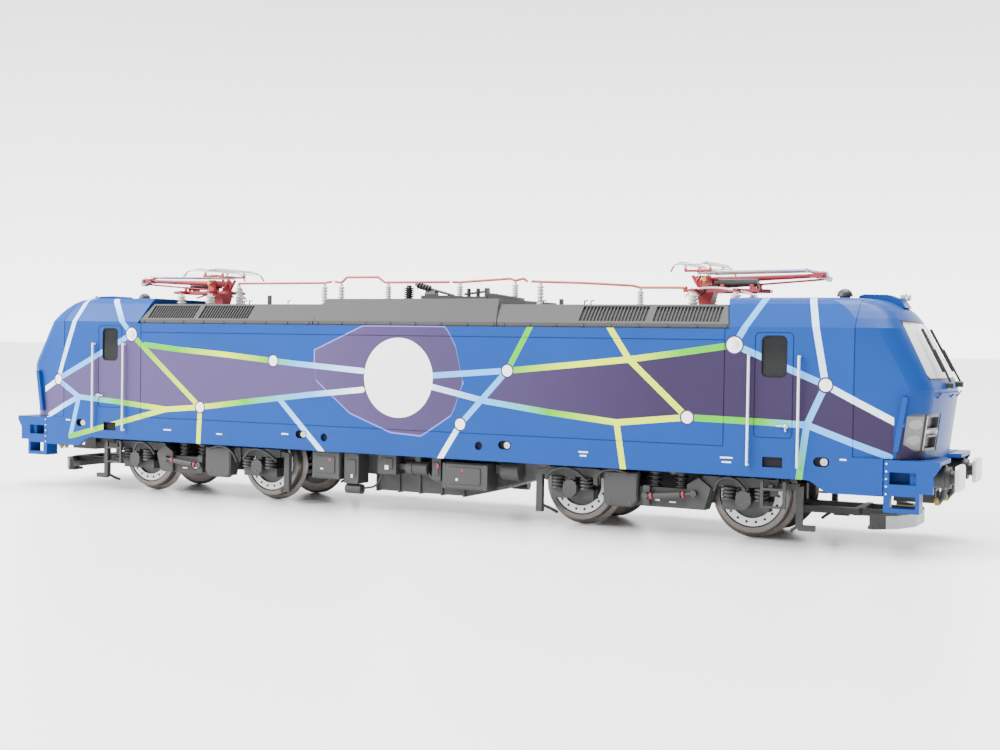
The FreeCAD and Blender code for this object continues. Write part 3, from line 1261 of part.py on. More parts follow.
def worm():
    """Worm with a faceted thread, its journal and the cup that takes the cardan ball."""
    z = DRIVE_Z
    per_turn = 16
    core_r, tip_r = WORM_PITCH_R - 0.62, WORM_PITCH_R + 0.4
    root_half, tip_half = 0.34, 0.16
    foot_r = core_r - 0.15
    half = WORM_TURNS * WORM_LEAD / 2
    rings = []
    for i in range(per_turn * WORM_TURNS + 1):
        a = 2 * math.pi * i / per_turn - math.pi / 2
        x = WORM_LEAD * i / per_turn - half
        corners = ((foot_r, -root_half), (tip_r, -tip_half), (tip_r, tip_half), (foot_r, root_half))
        rings.append([V(x + dx, r * math.cos(a), z + r * math.sin(a)) for r, dx in corners])
    faces = [face_of(rings[0]), face_of(rings[-1])]
    for a, b in zip(rings, rings[1:]):
        for k in range(4):
            p, q, r, s = a[k], a[(k + 1) % 4], b[(k + 1) % 4], b[k]
            faces.append(face_of([p, q, r]))
            faces.append(face_of([p, r, s]))
    thread = Part.Solid(Part.Shell(faces))
    if thread.Volume < 0:
        thread.reverse()
    core = cyl(core_r, 2 * half + 0.6, (-half - 0.3, 0, z), (1, 0, 0))
    journal = cyl(0.8, 2.6, (half + 0.2, 0, z), (1, 0, 0))
    cup_x = -CUP_X - 1.0
    cup = cyl(CUP_R, 2.8, (cup_x, 0, z), (1, 0, 0)).cut(cyl(CUP_R - 0.45, 1.9, (cup_x, 0, z), (1, 0, 0)))
    return fused([core, thread, journal, cup])


def centre_gear():
    """Gear that the worm drives, on its shaft."""
    return fused([gear(0, CENTRE_GEAR_Z, 0, CENTRE_PHASE), gear_shaft(0, CENTRE_GEAR_Z)])


def gear_shaft(x, z):
    """Cross shaft of a gear, in bogie coordinates."""
    return cyl(GEAR_SHAFT_R, 2 * GEAR_SHAFT_HALF, (x, -GEAR_SHAFT_HALF, z), (0, 1, 0))


def idler(side):
    """Gear between the centre gear and an axle gear, on its shaft."""
    x, z = idler_centre(side)
    phase = tooth_share((0.0, CENTRE_GEAR_Z), (x, z), CENTRE_PHASE)
    return fused([gear(x, z, 0, phase), gear_shaft(x, z)])


def axle_phase(side):
    """Phase of the axle gear that meshes with its idler."""
    x, z = idler_centre(side)
    phase = tooth_share((0.0, CENTRE_GEAR_Z), (x, z), CENTRE_PHASE)
    return tooth_share((x, z), (side * HALF_WHEELBASE, AXLE_Z), phase)


# ---------------------------------------------------------------- bogies
def gearbox():
    """Inner bogie frame: two cheeks that carry the gears, transoms to the side frames and the pivot boss."""
    end, half, outer = GEARBOX_END_X, CHEEK_Y[1], FRAME_Y[0]
    lid_z = FRAME_DECK_Z[0] - 0.6
    outline = [
        (-end, 6.4), (end, 6.4), (end, 10.6), (20.0, 13.2), (14.0, 16.6), (9.6, 17.6),
        (7.4, lid_z), (-7.4, lid_z), (-9.6, 17.6), (-14.0, 16.6), (-20.0, 13.2), (-end, 10.6),
    ]
    cheeks = [prism_y(outline, *sorted((s * CHEEK_Y[0], s * half))) for s in (-1, 1)]
    lid = box(-7.4, 7.4, -half, half, lid_z - 0.8, lid_z)
    boss = cyl(PIVOT_BOSS_R, FRAME_DECK_Z[1] - lid_z + 0.15, (0, 0, lid_z))
    retainer = cyl(PIVOT_BOSS_R + 1.4, 0.7, (0, 0, FRAME_DECK_Z[1] + 0.15))
    transoms = [box(-8.6, -5.2, -outer, outer, 6.4, 9.8), box(5.2, 8.4, -outer, outer, 5.6, 8.4)]
    floor = box(-end, end, -half, half, 5.6, 6.5)
    room = box(-end - 1, end + 1, -CHEEK_Y[0], CHEEK_Y[0], 6.5, lid_z - 0.8)
    frame = fused([fused(transoms).cut(room), *cheeks, lid, boss, retainer, floor])
    holes = [box(-5.1, 5.1, -1.6, 1.6, 2.0, 7.0)]
    for side in (-1, 1):
        ax = side * HALF_WHEELBASE
        holes.append(cyl(AXLE_R + 0.06, 12.0, (ax, -6.0, AXLE_Z), (0, 1, 0)))
        holes.append(box(ax - 5.1, ax + 5.1, -1.6, 1.6, 2.0, 7.0))
        x, z = idler_centre(side)
        holes.append(cyl(GEAR_SHAFT_R + 0.06, 12.0, (x, -6.0, z), (0, 1, 0)))
    holes.append(cyl(GEAR_SHAFT_R + 0.06, 12.0, (0, -6.0, CENTRE_GEAR_Z), (0, 1, 0)))
    frame = frame.cut(holes)
    inside = CHEEK_Y[0] + 0.1
    top = lid_z - 0.7
    plain = box(4.4, 5.5, -inside, inside, 16.5, top).cut(cyl(0.86, 6.0, (2.0, 0, DRIVE_Z), (1, 0, 0)))
    ring = box(-5.6, -4.4, -inside, inside, 16.5, top)
    ring = ring.cut(cyl(CUP_R + 0.06, 6.0, (-8.0, 0, DRIVE_Z), (1, 0, 0)))
    return fused([frame, plain, ring])


def side_frame():
    """Outer frame on the -Y side: low middle beam, raised arms over the axles and the solid middle block."""
    y0, y1 = -FRAME_Y[1], -FRAME_Y[0]
    beam = [
        (-22.8, 9.9), (-10.4, 9.9), (-9.0, 5.2), (9.8, 5.2), (11.4, 9.9), (22.8, 9.9),
        (22.8, BOGIE_TOP_Z), (9.4, BOGIE_TOP_Z), (7.2, 8.9), (-3.4, 8.9), (-4.4, BOGIE_TOP_Z),
        (-22.8, BOGIE_TOP_Z),
    ]
    frame = prism_y(beam, y0, y1)
    block_outline = [
        (-10.2, 5.6), (-9.4, 4.9), (-4.4, 4.9), (-3.2, 6.2), (-3.2, BOGIE_TOP_Z), (-10.2, BOGIE_TOP_Z),
    ]
    block = prism_y(block_outline, y0 - 1.2, y0 + 0.1)
    edges = [e for e in block.Edges if abs(e.BoundBox.YMin - (y0 - 1.2)) < 0.01 and e.BoundBox.YLength < 0.01]
    block = block.makeChamfer(0.3, edges)
    bracket = prism_y([(6.4, 5.4), (9.8, 5.4), (11.0, 9.4), (8.6, 11.2), (6.4, 9.8)], y0 - 0.7, y0 + 0.1)
    lug = box(-2.2, -0.9, y0 - 0.9, y0 + 0.1, 5.6, 9.2)
    guards = [box(x - 0.7, x + 0.7, y0 - 0.5, y0 + 0.1, 8.6, BOGIE_TOP_Z) for x in (-11.8, 22.7)]
    pieces = [frame, block, bracket, lug] + guards
    for side in (-1, 1):
        ax = side * HALF_WHEELBASE
        pieces.append(box(ax - 4.4, ax + 4.4, y0 + 0.4, y1, 5.6, 7.4))
        cover = hex_cover(ax, y0)
        pieces.append(cover)
        pieces.append(box(ax - 0.7, ax + 0.7, y0 - 0.1, y1, 7.0, 10.2))
    return fused(pieces)


def hex_cover(ax, y0):
    """Eight-sided axle box cover on the outside of the side frame."""
    points = []
    for i in range(8):
        a = math.radians(22.5 + 45 * i)
        points.append((ax + 1.55 * math.cos(a), AXLE_Z - 0.5 + 1.75 * math.sin(a)))
    return prism_y(points, y0 - 1.1, y0 + 1.6)


def ladder(x, y0):
    """Step ladder under a cab door."""
    bars = [box(x + dx, x + dx + 0.55, y0 - 1.9, y0 - 1.35, 6.6, BOGIE_TOP_Z - 0.1) for dx in (0.0, 4.1)]
    rungs = [box(x, x + 4.65, y0 - 1.9, y0 - 1.15, z, z + 0.4) for z in (6.6, 9.8)]
    arm = box(x + 1.4, x + 2.2, y0 - 1.5, y0 + 0.2, 9.9, 10.8)
    return fused(bars + rungs + [arm])


def sand_pipes(y0):
    """Sand pipes and their brackets at both ends of one side frame."""
    inner = fused([
        box(-25.0, -23.7, y0 + 0.2, y0 + 1.3, 2.6, 11.0),
        box(-24.0, -22.6, y0 + 0.2, y0 + 1.3, 10.0, 11.2),
        rod([(-24.0, y0 + 0.7, 4.0), (-22.4, y0 + 1.6, 3.2), (-21.4, y0 + 2.6, 2.4)], 0.3),
    ])
    outer = fused([
        box(26.6, 27.7, y0 + 0.2, y0 + 1.3, 3.0, 10.6),
        box(22.6, 27.0, y0 + 0.2, y0 + 1.3, 9.9, 11.0),
        box(27.0, 30.0, y0 + 0.2, y0 + 1.3, 2.7, 3.7),
        rod([(27.0, y0 + 0.8, 3.6), (25.6, y0 + 1.8, 2.6), (25.2, y0 + 2.8, 2.2)], 0.3),
    ])
    return [inner, outer]


def bogie_side():
    """Side frame on the -Y side with its sand pipes and the step ladder under the cab door."""
    y0 = -FRAME_Y[1]
    return fused([side_frame()] + sand_pipes(y0) + [ladder(LADDER_X, y0)])


def spring(x, y, z0, z1, r, wire, turns):
    """Coil spring as a stack of wire rings on a core."""
    core = cyl(r - wire, z1 - z0, (x, y, z0))
    rings = []
    pitch = (z1 - z0 - 2 * wire) / (turns - 1)
    for i in range(turns):
        ring = Part.makeTorus(r - wire * 0.5, wire, V(x, y, z0 + wire + i * pitch))
        rings.append(ring)
    return fused([core] + rings)


def bogie_springs():
    """Axle springs beside each axle box, and the body springs inside the frame."""
    y = -FRAME_Y[1] + 0.4
    coils = []
    for side in (-1, 1):
        for dx in (-3.0, 3.0):
            coils.append(spring(side * HALF_WHEELBASE + dx, y - 0.2, 7.4, 9.9, 1.2, 0.26, 4))
    return coils + [mirror_y(c) for c in coils]


def body_springs():
    """The springs between the side frames and the body."""
    coils = []
    for x in (-0.6, 4.6):
        coils.append(spring(x, -12.6, 8.9, 11.9, 1.1, 0.26, 4))
    return coils + [mirror_y(c) for c in coils]


def dampers():
    """Yaw dampers along the side frames and the upright dampers beside them."""
    y = -FRAME_Y[1] - 1.3
    body = cyl(0.6, 5.2, (0.2, y, 7.4), (1, 0, 0.1))
    piston = cyl(0.34, 9.6, (-1.6, y, 7.3), (1, 0, 0.1))
    eye_in = cyl(0.62, 1.3, (-1.6, y - 0.4, 7.3), (0, 1, 0))
    eye_out = cyl(0.62, 1.3, (7.9, y - 0.4, 8.25), (0, 1, 0))
    yaw = fused([body, piston, eye_in, eye_out])
    frame = side_frame()
    yaw = yaw.cut(frame)
    return [yaw, mirror_y(yaw)]


def rail_guard():
    """Rail guard across the outer end of the bogie, on two arms."""
    outline = [(43.6, -9.6), (45.9, -4.0), (45.9, 4.0), (43.6, 9.6), (39.8, 12.6), (39.2, 12.0), (42.8, 9.0),
               (45.0, 3.7), (45.0, -3.7), (42.8, -9.0), (39.2, -12.0), (39.8, -12.6)]
    blade = prism_z(outline, 3.7, 6.4)
    start = GEARBOX_END_X
    arms = [box(start, 45.0, s * 4.6 - 0.8, s * 4.6 + 0.8, 5.2, 6.4) for s in (-1, 1)]
    posts = [box(start, start + 1.4, s * 4.6 - 0.8, s * 4.6 + 0.8, 5.4, 9.6) for s in (-1, 1)]
    bar = box(35.0, 36.2, -6.0, 6.0, 5.2, 6.5)
    lips = []
    for s in (-1, 1):
        lips.append(box(39.0, 40.6, *sorted((s * 9.0, s * 12.2)), 3.7, 4.3))
    return fused([blade, bar] + arms + posts + lips)


def placed_on_bogie(shapes, sign):
    """Moves pieces modelled about the bogie's centre to the bogie at sign * X, outer end outwards."""
    result = []
    for shape in shapes:
        turned = shape if sign > 0 else half_turn(shape)
        result.append(moved(turned, x=sign * BOGIE_PIVOT_X))
    return result


# ---------------------------------------------------------------- export
def export(name, shapes):
    """Writes one node as a STEP file."""
    solids = []
    for shape in shapes:
        solids += shape.Solids
    for solid in solids:
        if not solid.isValid():
            print("not valid:", name)
    shape = solids[0] if len(solids) == 1 else Part.makeCompound(solids)
    shape.exportStep(f"parts/{name}.step")
    volume = sum(s.Volume for s in solids)
    print(f"{name}: {len(solids)} solids, {volume:.1f} mm3")


def main():
    """Builds and exports every node."""
    os.makedirs("parts", exist_ok=True)
    front_hatch, centre_hatch, rear_hatch = roof_hatches()
    rails = [nose_rail(), half_turn(nose_rail())]
    export("body_shell", [body_shell()])
    export("nose_rails", rails)
    export("glazing", glazing())
    export("headlight_lenses", headlight_lenses())
    export("headlight_bezels", headlight_bezels())
    export("door_handrails", door_handrails())
    export("wipers", wipers())
    export("buffer_beams", [skirt(), half_turn(skirt())])
    export("brake_hoses", brake_hoses())
    export("buffer_sleeves", buffer_sleeves())
    for end, turn in (("front", False), ("rear", True)):
        for side, label in ((-1, "right"), (1, "left")):
            head = buffer_head(side)
            export(f"buffer_head_{end}_{label}", [half_turn(head) if turn else head])

    export("roof_hatches_outer", [front_hatch, rear_hatch])
    export("roof_hatch_centre", [centre_hatch])
    export("roof_insulators", roof_insulators())
    export("roof_busbar", roof_busbar())
    export("roof_equipment", roof_equipment())

    export("pantograph_bases", [panto_base(), half_turn(panto_base())])
    panto = {
        "lower_arm": panto_lower_arm(),
        "upper_arm": panto_upper_arm(),
        "head": panto_head(),
        "thrust_rod": panto_rod(),
    }
    for part, shape in panto.items():
        export(f"pantograph_{part}_front", [shape])
        export(f"pantograph_{part}_rear", [half_turn(shape)])

    export("chassis_frame", [chassis_frame()])
    export("body_screws", body_screws())
    export("motor_can", [motor_can()])
    export("drive_shaft", drive_shaft())
    export("circuit_board", circuit_board())
    export("cab_interiors", cab_interiors())
    export("underfloor_tank", [underfloor_tank()])
    export("equipment_boxes", equipment_boxes())
    export("coupler_pocket_front", [coupler_pocket()])
    export("coupler_pocket_rear", [half_turn(coupler_pocket())])

    side = bogie_side()
    for name, sign in (("front", 1), ("rear", -1)):
        export(f"bogie_gearbox_{name}", placed_on_bogie([gearbox()], sign))
        export(f"bogie_side_frames_{name}", placed_on_bogie([side, mirror_y(side)], sign))
        export(f"bogie_springs_{name}", placed_on_bogie(bogie_springs() + body_springs(), sign))
        export(f"bogie_dampers_{name}", placed_on_bogie(dampers(), sign))
        export(f"rail_guard_{name}", placed_on_bogie([rail_guard()], sign))
        export(f"worm_{name}", placed_on_bogie([worm()], sign))
        export(f"centre_gear_{name}", placed_on_bogie([centre_gear()], sign))
        for place, local in (("outer", 1), ("inner", -1)):
            export(f"idler_gear_{name}_{place}", placed_on_bogie([idler(local)], sign))
            wheels = [moved(s, x=local * HALF_WHEELBASE) for s in wheelset(axle_phase(local))]
            export(f"wheelset_{name}_{place}", placed_on_bogie(wheels, sign))


main()
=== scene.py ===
import math

import bmesh
import bpy
from mathutils import Matrix, Vector

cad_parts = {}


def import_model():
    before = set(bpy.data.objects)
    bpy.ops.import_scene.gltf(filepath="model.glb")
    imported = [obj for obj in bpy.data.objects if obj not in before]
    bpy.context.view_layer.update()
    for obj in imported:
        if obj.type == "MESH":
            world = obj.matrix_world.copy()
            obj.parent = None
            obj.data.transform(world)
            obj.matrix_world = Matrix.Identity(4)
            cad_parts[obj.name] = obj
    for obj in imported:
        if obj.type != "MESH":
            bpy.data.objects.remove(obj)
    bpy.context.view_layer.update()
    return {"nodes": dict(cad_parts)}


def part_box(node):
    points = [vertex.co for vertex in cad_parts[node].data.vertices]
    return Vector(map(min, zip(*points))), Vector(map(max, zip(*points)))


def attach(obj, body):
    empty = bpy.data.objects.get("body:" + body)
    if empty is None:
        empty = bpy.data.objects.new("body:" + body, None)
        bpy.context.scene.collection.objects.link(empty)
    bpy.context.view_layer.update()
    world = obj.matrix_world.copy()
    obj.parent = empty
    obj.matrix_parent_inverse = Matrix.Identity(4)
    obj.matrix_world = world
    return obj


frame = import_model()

MM = 0.001

# ---------------------------------------------------------------- sizes shared with the CAD, in mm
# wheels and bogies
PIVOT_X = 54.6
WHEELBASE_HALF = 17.24
AXLE_Z = 8.2
BOLTS = 18
BOLT_R = 5.1
BOLT_HEAD_R = 0.27
WHEEL_FACE_Y = 9.55
BRAKE_RING_Y = 9.84
BRAKE_RING_R = (4.38, 5.9)
RIM_R = 5.98
GUARD_X = 96.5
GUARD_TOP_Z = 6.05

# body sides
SIDE = 17.3
WALL_Y = 16.2
BODY_HALF = 110.0
BODY_TOP = 50.0
PAINT_TOP_Z = 44.35
PAINT_INNER_Y = 12.6
DOOR_X = 77.65
WINDOW_Z = 33.85
POCKET_Z = 15.0
PORT_X = 18.4
PORT_Z = 15.1
PORT_R = 0.84
FILLER_XS = (24.2, 86.4)
FILLER_Z = 15.5

# ends
CAB_X = 88.0
SCREEN_X = 93.0
SCREEN_Z = (30.25, 40.55)
BLADE_X = 98.55
BLADE_Y = 16.25
LAMP_Z = 21.15
LENS_Y = 14.75
LENS_EDGE_Y = 13.1
BEZEL_Y = 10.8
PLATE_X = 108.42

# roof
HATCH_PANELS = ((39.2, 52.8), (54.2, 67.2))
LOUVRE_Z = (39.95, 42.85)
HATCH_FOOT_Z = (38.6, 38.98)
HATCH_SLOPE_Y = 13.75
LIFT_CYLINDER = (-2.0, 47.75)
LIFT_CYLINDER_R = 0.8
LIFT_CYLINDER_X = 61.2
HEAD_SUPPORT_TOP_Z = 50.5

# ---------------------------------------------------------------- brightness of the room
ROOM_LEVEL = 0.85
BACK_LEVEL = 5.2
DIM_RIGHT = 0.85
KEY_POWER = 13.5
FILL_POWER = 1.0
OVERHEAD_POWER = 10.0

# ---------------------------------------------------------------- camera, in degrees, mm and metres
CAMERA_YAW_PITCH_ROLL = (27.09, -1.32, 0.89)
CAMERA_LENS = 49.18
CAMERA_AT = (0.1449, -0.2557, 0.0354)


# ---------------------------------------------------------------- node helpers
class Graph:
    """A short way to add shader nodes to a material or a group."""

    def __init__(self, tree):
        self.tree = tree

    def node(self, kind, **settings):
        made = self.tree.nodes.new(kind)
        for key, value in settings.items():
            setattr(made, key, value)
        return made

    def feed(self, socket, value):
        if isinstance(value, bpy.types.NodeSocket):
            self.tree.links.new(value, socket)
        else:
            socket.default_value = value

    def math(self, op, a, b=0.0, c=0.0, clamp=False):
        made = self.node("ShaderNodeMath", operation=op, use_clamp=clamp)
        for socket, value in zip(made.inputs, (a, b, c)):
            self.feed(socket, value)
        return made.outputs[0]

    def vector(self, op, a, b=None, scale=None):
        made = self.node("ShaderNodeVectorMath", operation=op)
        self.feed(made.inputs[0], a)
        if b is not None:
            self.feed(made.inputs[1], b)
        if scale is not None:
            self.feed(made.inputs["Scale"], scale)
        gives_number = op in ("DOT_PRODUCT", "DISTANCE", "LENGTH")
        return made.outputs["Value" if gives_number else "Vector"]

    def mix(self, share, a, b):
        """Colour a where the share is nil, colour b where it is one."""
        made = self.node("ShaderNodeMix", data_type="RGBA")
        self.feed(made.inputs["Factor"], share)
        self.feed(made.inputs[6], rgba(a))
        self.feed(made.inputs[7], rgba(b))
        return made.outputs[2]

    def xyz(self, x, y, z):
        made = self.node("ShaderNodeCombineXYZ")
        for socket, value in zip(made.inputs, (x, y, z)):
            self.feed(socket, value)
        return made.outputs[0]

    def split(self, vector):
        made = self.node("ShaderNodeSeparateXYZ")
        self.feed(made.inputs[0], vector)
        return made.outputs

    def place(self):
        """The point in the row frame, in mm."""
        return self.vector("SCALE", self.node("ShaderNodeTexCoord").outputs["Object"], scale=1000.0)

    def noise(self, vector, scale, detail=3.0, rough=0.5):
        made = self.node("ShaderNodeTexNoise")
        self.feed(made.inputs["Vector"], vector)
        self.feed(made.inputs["Scale"], scale)
        self.feed(made.inputs["Detail"], detail)
        self.feed(made.inputs["Roughness"], rough)
        return made.outputs["Fac"]

    def ramp(self, value, stops):
        """A level read off a line through (value, level) stops."""
        made = self.node("ShaderNodeValToRGB")
        marks = made.color_ramp.elements
        while len(marks) < len(stops):
            marks.new(0.5)
        for mark, (at, level) in zip(marks, stops):
            mark.position = at
            mark.color = (level, level, level, 1.0)
        self.feed(made.inputs[0], value)
        parts = self.node("ShaderNodeSeparateColor")
        self.feed(parts.inputs[0], made.outputs["Color"])
        return parts.outputs[0]


def rgba(value):
    """A plain colour gets its alpha; anything else stays as it is."""
    return (*value, 1.0) if isinstance(value, tuple) and len(value) == 3 else value


def new_material(name, metallic=0.0, rough=0.5, coat=0.0):
    """An empty material with its graph and its shader."""
    made = bpy.data.materials.new(name)
    made.use_nodes = True
    graph = Graph(made.node_tree)
    shader = made.node_tree.nodes["Principled BSDF"]
    shader.inputs["Metallic"].default_value = metallic
    shader.inputs["Roughness"].default_value = rough
    shader.inputs["Coat Weight"].default_value = coat
    shader.inputs["Coat Roughness"].default_value = 0.25
    return made, graph, shader


def bump(graph, shader, height, strength, distance):
    """Lets a height pattern roughen the surface."""
    made = graph.node("ShaderNodeBump")
    made.inputs["Strength"].default_value = strength
    made.inputs["Distance"].default_value = distance
    graph.feed(made.inputs["Height"], height)
    graph.feed(shader.inputs["Normal"], made.outputs[0])


def surface(name, colour, rough=0.5, metallic=0.0, vary=0.12, grain=1.2, shine=0.5):
    """A moulded, painted or turned finish: fine grain, slow colour drift and uneven gloss."""
    made, g, shader = new_material(name, metallic, rough)
    shader.inputs["Specular IOR Level"].default_value = shine
    place = g.place()
    fine = g.noise(place, grain, 4.0, 0.6)
    broad = g.noise(place, 0.09, 2.0)
    drift = g.math("MULTIPLY_ADD", broad, vary * 2.0, 1.0 - vary)
    speck = g.math("MULTIPLY_ADD", fine, vary, 1.0 - vary / 2)
    tone = g.vector("SCALE", rgba(colour)[:3], scale=g.math("MULTIPLY", drift, speck))
    g.feed(shader.inputs["Base Color"], tone)
    g.feed(shader.inputs["Roughness"], g.math("MULTIPLY_ADD", fine, 0.16, rough - 0.08))
    bump(g, shader, fine, 0.35, 0.02 * MM)
    return made


# ---------------------------------------------------------------- livery
BLUE = (0.0085, 0.051, 0.236)
# The two purples are one paint with a painted sheen: the first is its lit end, the second its darker end.
PURPLE_PAINTED_SHEEN = (0.078, 0.057, 0.140)
PURPLE_PAINTED_SHADE = (0.034, 0.023, 0.058)
SKY = (0.11, 0.40, 0.86)
PALE = (0.55, 0.76, 0.97)
GREEN = (0.075, 0.47, 0.012)
YELLOW = (0.66, 0.82, 0.0)
WHITE = (0.90, 0.91, 0.92)
VIOLET = (0.16, 0.16, 0.62)
OUTLINE = (0.045, 0.030, 0.090)
# black of the rubber trim, also used as painted shade inside the recesses of the sides
INK_AND_SHADE = (0.012, 0.012, 0.014)

# named points of the line network, as (x, z) in mm on the side wall
P = {
    "bay": (-93.8, 25.4), "harbour": (-71.3, 36.2), "crest_a": (-88.0, 44.3), "fold_a": (-88.6, 39.1),
    "crest_b": (-79.4, 44.3), "fold_b": (-74.2, 39.2), "nose_a": (-98.6, 22.9), "fork": (-87.1, 21.5),
    "merge": (-61.0, 19.5), "mill": (-51.4, 20.3), "nose_b": (-96.8, 17.0), "foot_a": (-89.7, 12.2),
    "branch": (-67.2, 33.9), "tower": (-31.7, 30.95), "delta": (-30.1, 22.95), "foot_b": (-51.8, 12.0),
    "foot_c": (-18.8, 12.0), "square": (24.5, 30.1), "eave_a": (29.3, 38.7), "star": (50.0, 32.8),
    "cross": (19.8, 24.0), "elbow": (47.7, 20.9), "lake": (14.2, 19.2), "foot_d": (9.6, 12.0),
    "eave_b": (46.0, 38.7), "foot_e": (49.2, 12.0), "bridge": (61.6, 22.4), "hill": (70.3, 35.8),
    "gate": (83.7, 21.9), "crest_c": (74.9, 44.3), "fold_c": (72.2, 39.0), "peak": (86.9, 29.0),
    "crest_d": (83.5, 44.3), "fold_d": (85.0, 39.1), "nose_c": (99.6, 22.5), "nose_d": (97.9, 16.9),
    "foot_f": (82.5, 12.3), "hub": (-0.4, 28.1), "hub_w": (-9.0, 29.3), "hub_s": (-9.0, 25.4),
    "mid_a": (-45.0, 32.1), "mid_b": (-58.0, 33.0), "mid_c": (-39.0, 21.9), "mid_d": (33.5, 22.3),
    "mid_e": (38.0, 31.5), "mid_f": (60.5, 34.3), "mid_g": (76.0, 22.1), "mid_h": (-22.0, 24.0),
    "mid_i": (-25.0, 30.4), "mid_k": (-75.0, 20.7),
}
LINE = 0.6
LINES = [
    ("crest_a", "fold_a", PALE, PALE), ("fold_a", "bay", PALE, PALE), ("crest_b", "fold_b", PALE, SKY),
    ("fold_b", "harbour", SKY, SKY), ("harbour", "bay", SKY, SKY), ("bay", "nose_a", PALE, WHITE),
    ("bay", "fork", SKY, SKY), ("fork", "mid_k", SKY, GREEN), ("mid_k", "merge", GREEN, YELLOW),
    ("merge", "mill", YELLOW, YELLOW), ("fork", "nose_b", SKY, PALE), ("fork", "foot_a", SKY, SKY),
    ("foot_a", "merge", GREEN, YELLOW), ("harbour", "mill", GREEN, YELLOW), ("branch", "mid_b", GREEN, GREEN),
    ("mid_b", "mid_a", GREEN, YELLOW), ("mid_a", "tower", YELLOW, GREEN), ("tower", "mid_i", GREEN, SKY),
    ("mid_i", "hub_w", SKY, PALE), ("mill", "mid_c", YELLOW, GREEN), ("mid_c", "mid_h", GREEN, SKY),
    ("mid_h", "hub_s", SKY, WHITE), ("mill", "foot_b", YELLOW, YELLOW), ("delta", "foot_c", SKY, PALE),
    ("hub", "square", SKY, SKY), ("square", "eave_a", GREEN, GREEN), ("square", "mid_e", GREEN, YELLOW),
    ("mid_e", "star", YELLOW, YELLOW), ("star", "mid_f", YELLOW, GREEN), ("mid_f", "hill", GREEN, GREEN),
    ("hub", "cross", WHITE, SKY), ("cross", "mid_d", SKY, GREEN), ("mid_d", "elbow", GREEN, YELLOW),
    ("elbow", "bridge", YELLOW, YELLOW), ("square", "lake", SKY, SKY), ("lake", "foot_d", PALE, WHITE),
    ("eave_b", "star", YELLOW, YELLOW), ("star", "bridge", YELLOW, YELLOW),
    ("elbow", "foot_e", YELLOW, YELLOW),
    ("bridge", "mid_g", GREEN, GREEN), ("mid_g", "gate", GREEN, SKY), ("hill", "fold_c", SKY, SKY),
    ("fold_c", "crest_c", SKY, SKY), ("hill", "peak", SKY, SKY), ("peak", "fold_d", PALE, PALE),
    ("fold_d", "crest_d", PALE, PALE), ("peak", "nose_c", PALE, WHITE), ("peak", "gate", SKY, SKY),
    ("gate", "nose_d", SKY, SKY), ("gate", "foot_f", SKY, GREEN),
]
STOPS = ["bay", "mill", "tower", "square", "lake", "bridge", "peak"]
LARGE_STOPS = ["harbour", "hill"]
HUB_R = 8.15

# the purple fields as upper and lower edges along the side
FIELD_TOP = [
    (-104.0, 20.0), (-98.6, 22.9), (-93.8, 25.4), (-71.3, 36.2), (-67.2, 33.9), (-31.7, 30.95), (0.0, 28.6),
    (19.7, 24.0), (24.5, 30.1), (50.0, 32.8), (70.3, 35.8), (86.9, 29.0), (104.0, 20.2),
]
FIELD_BOTTOM = [
    (-104.0, 12.6), (-96.8, 17.0), (-87.1, 21.5), (-61.0, 19.5), (-51.4, 20.3), (-30.1, 22.95), (0.0, 26.0),
    (19.7, 24.0), (33.5, 22.3), (47.7, 20.9), (61.6, 22.4), (83.7, 21.9), (104.0, 14.4),
]
SHIELD_TOP = [
    (-20.9, 33.2), (-20.8, 33.4), (-9.0, 38.5), (10.6, 38.5), (13.2, 34.0), (14.4, 27.6), (14.5, 27.5),
]
SHIELD_BOTTOM = [
    (-20.9, 33.1), (-20.8, 27.4), (-12.0, 20.6), (-2.0, 17.0), (5.2, 16.6), (12.4, 21.2), (14.5, 27.4),
]


def line_group():
    """Paints one gradient line, or a disc where the run is nil, over the colour it is given."""
    group = bpy.data.node_groups.new("painted_line", "ShaderNodeTree")
    kinds = {
        "Base": "Color", "Point": "Vector", "Start": "Vector", "Run": "Vector", "Scaled": "Vector",
        "Half": "Float", "First": "Color", "Last": "Color",
    }
    for name, kind in kinds.items():
        group.interface.new_socket(name, in_out="INPUT", socket_type="NodeSocket" + kind)
    group.interface.new_socket("Colour", in_out="OUTPUT", socket_type="NodeSocketColor")
    g = Graph(group)
    given = g.node("NodeGroupInput").outputs
    rel = g.vector("SUBTRACT", given["Point"], given["Start"])
    dot = g.vector("DOT_PRODUCT", rel, given["Scaled"])
    share = g.math("MAXIMUM", g.math("MINIMUM", dot, 1.0), 0.0)
    distance = g.vector("DISTANCE", rel, g.vector("SCALE", given["Run"], scale=share))
    inside = g.math("LESS_THAN", distance, given["Half"])
    colour = g.mix(share, given["First"], given["Last"])
    out = g.node("NodeGroupOutput")
    g.feed(out.inputs[0], g.mix(inside, given["Base"], colour))
    return group


def paint(g, group, base, point, start, end, half, first, last):
    """Adds one line of the network, or a disc where the start is the end."""
    a, b = Vector((start[0], 0, start[1])), Vector((end[0], 0, end[1]))
    run = b - a
    scaled = run / run.length_squared if run.length > 0 else run
    made = g.node("ShaderNodeGroup")
    made.node_tree = group
    values = (base, point, tuple(a), tuple(run), tuple(scaled), half, rgba(first), rgba(last))
    for socket, value in zip(made.inputs, values):
        g.feed(socket, value)
    return made.outputs[0]


def edge_height(g, share, edges):
    """Height of an edge given as (x, z) points, at the share of the body's length."""
    stops = [((x + BODY_HALF) / (2 * BODY_HALF), z / BODY_TOP) for x, z in edges]
    return g.math("MULTIPLY", g.ramp(share, stops), BODY_TOP)


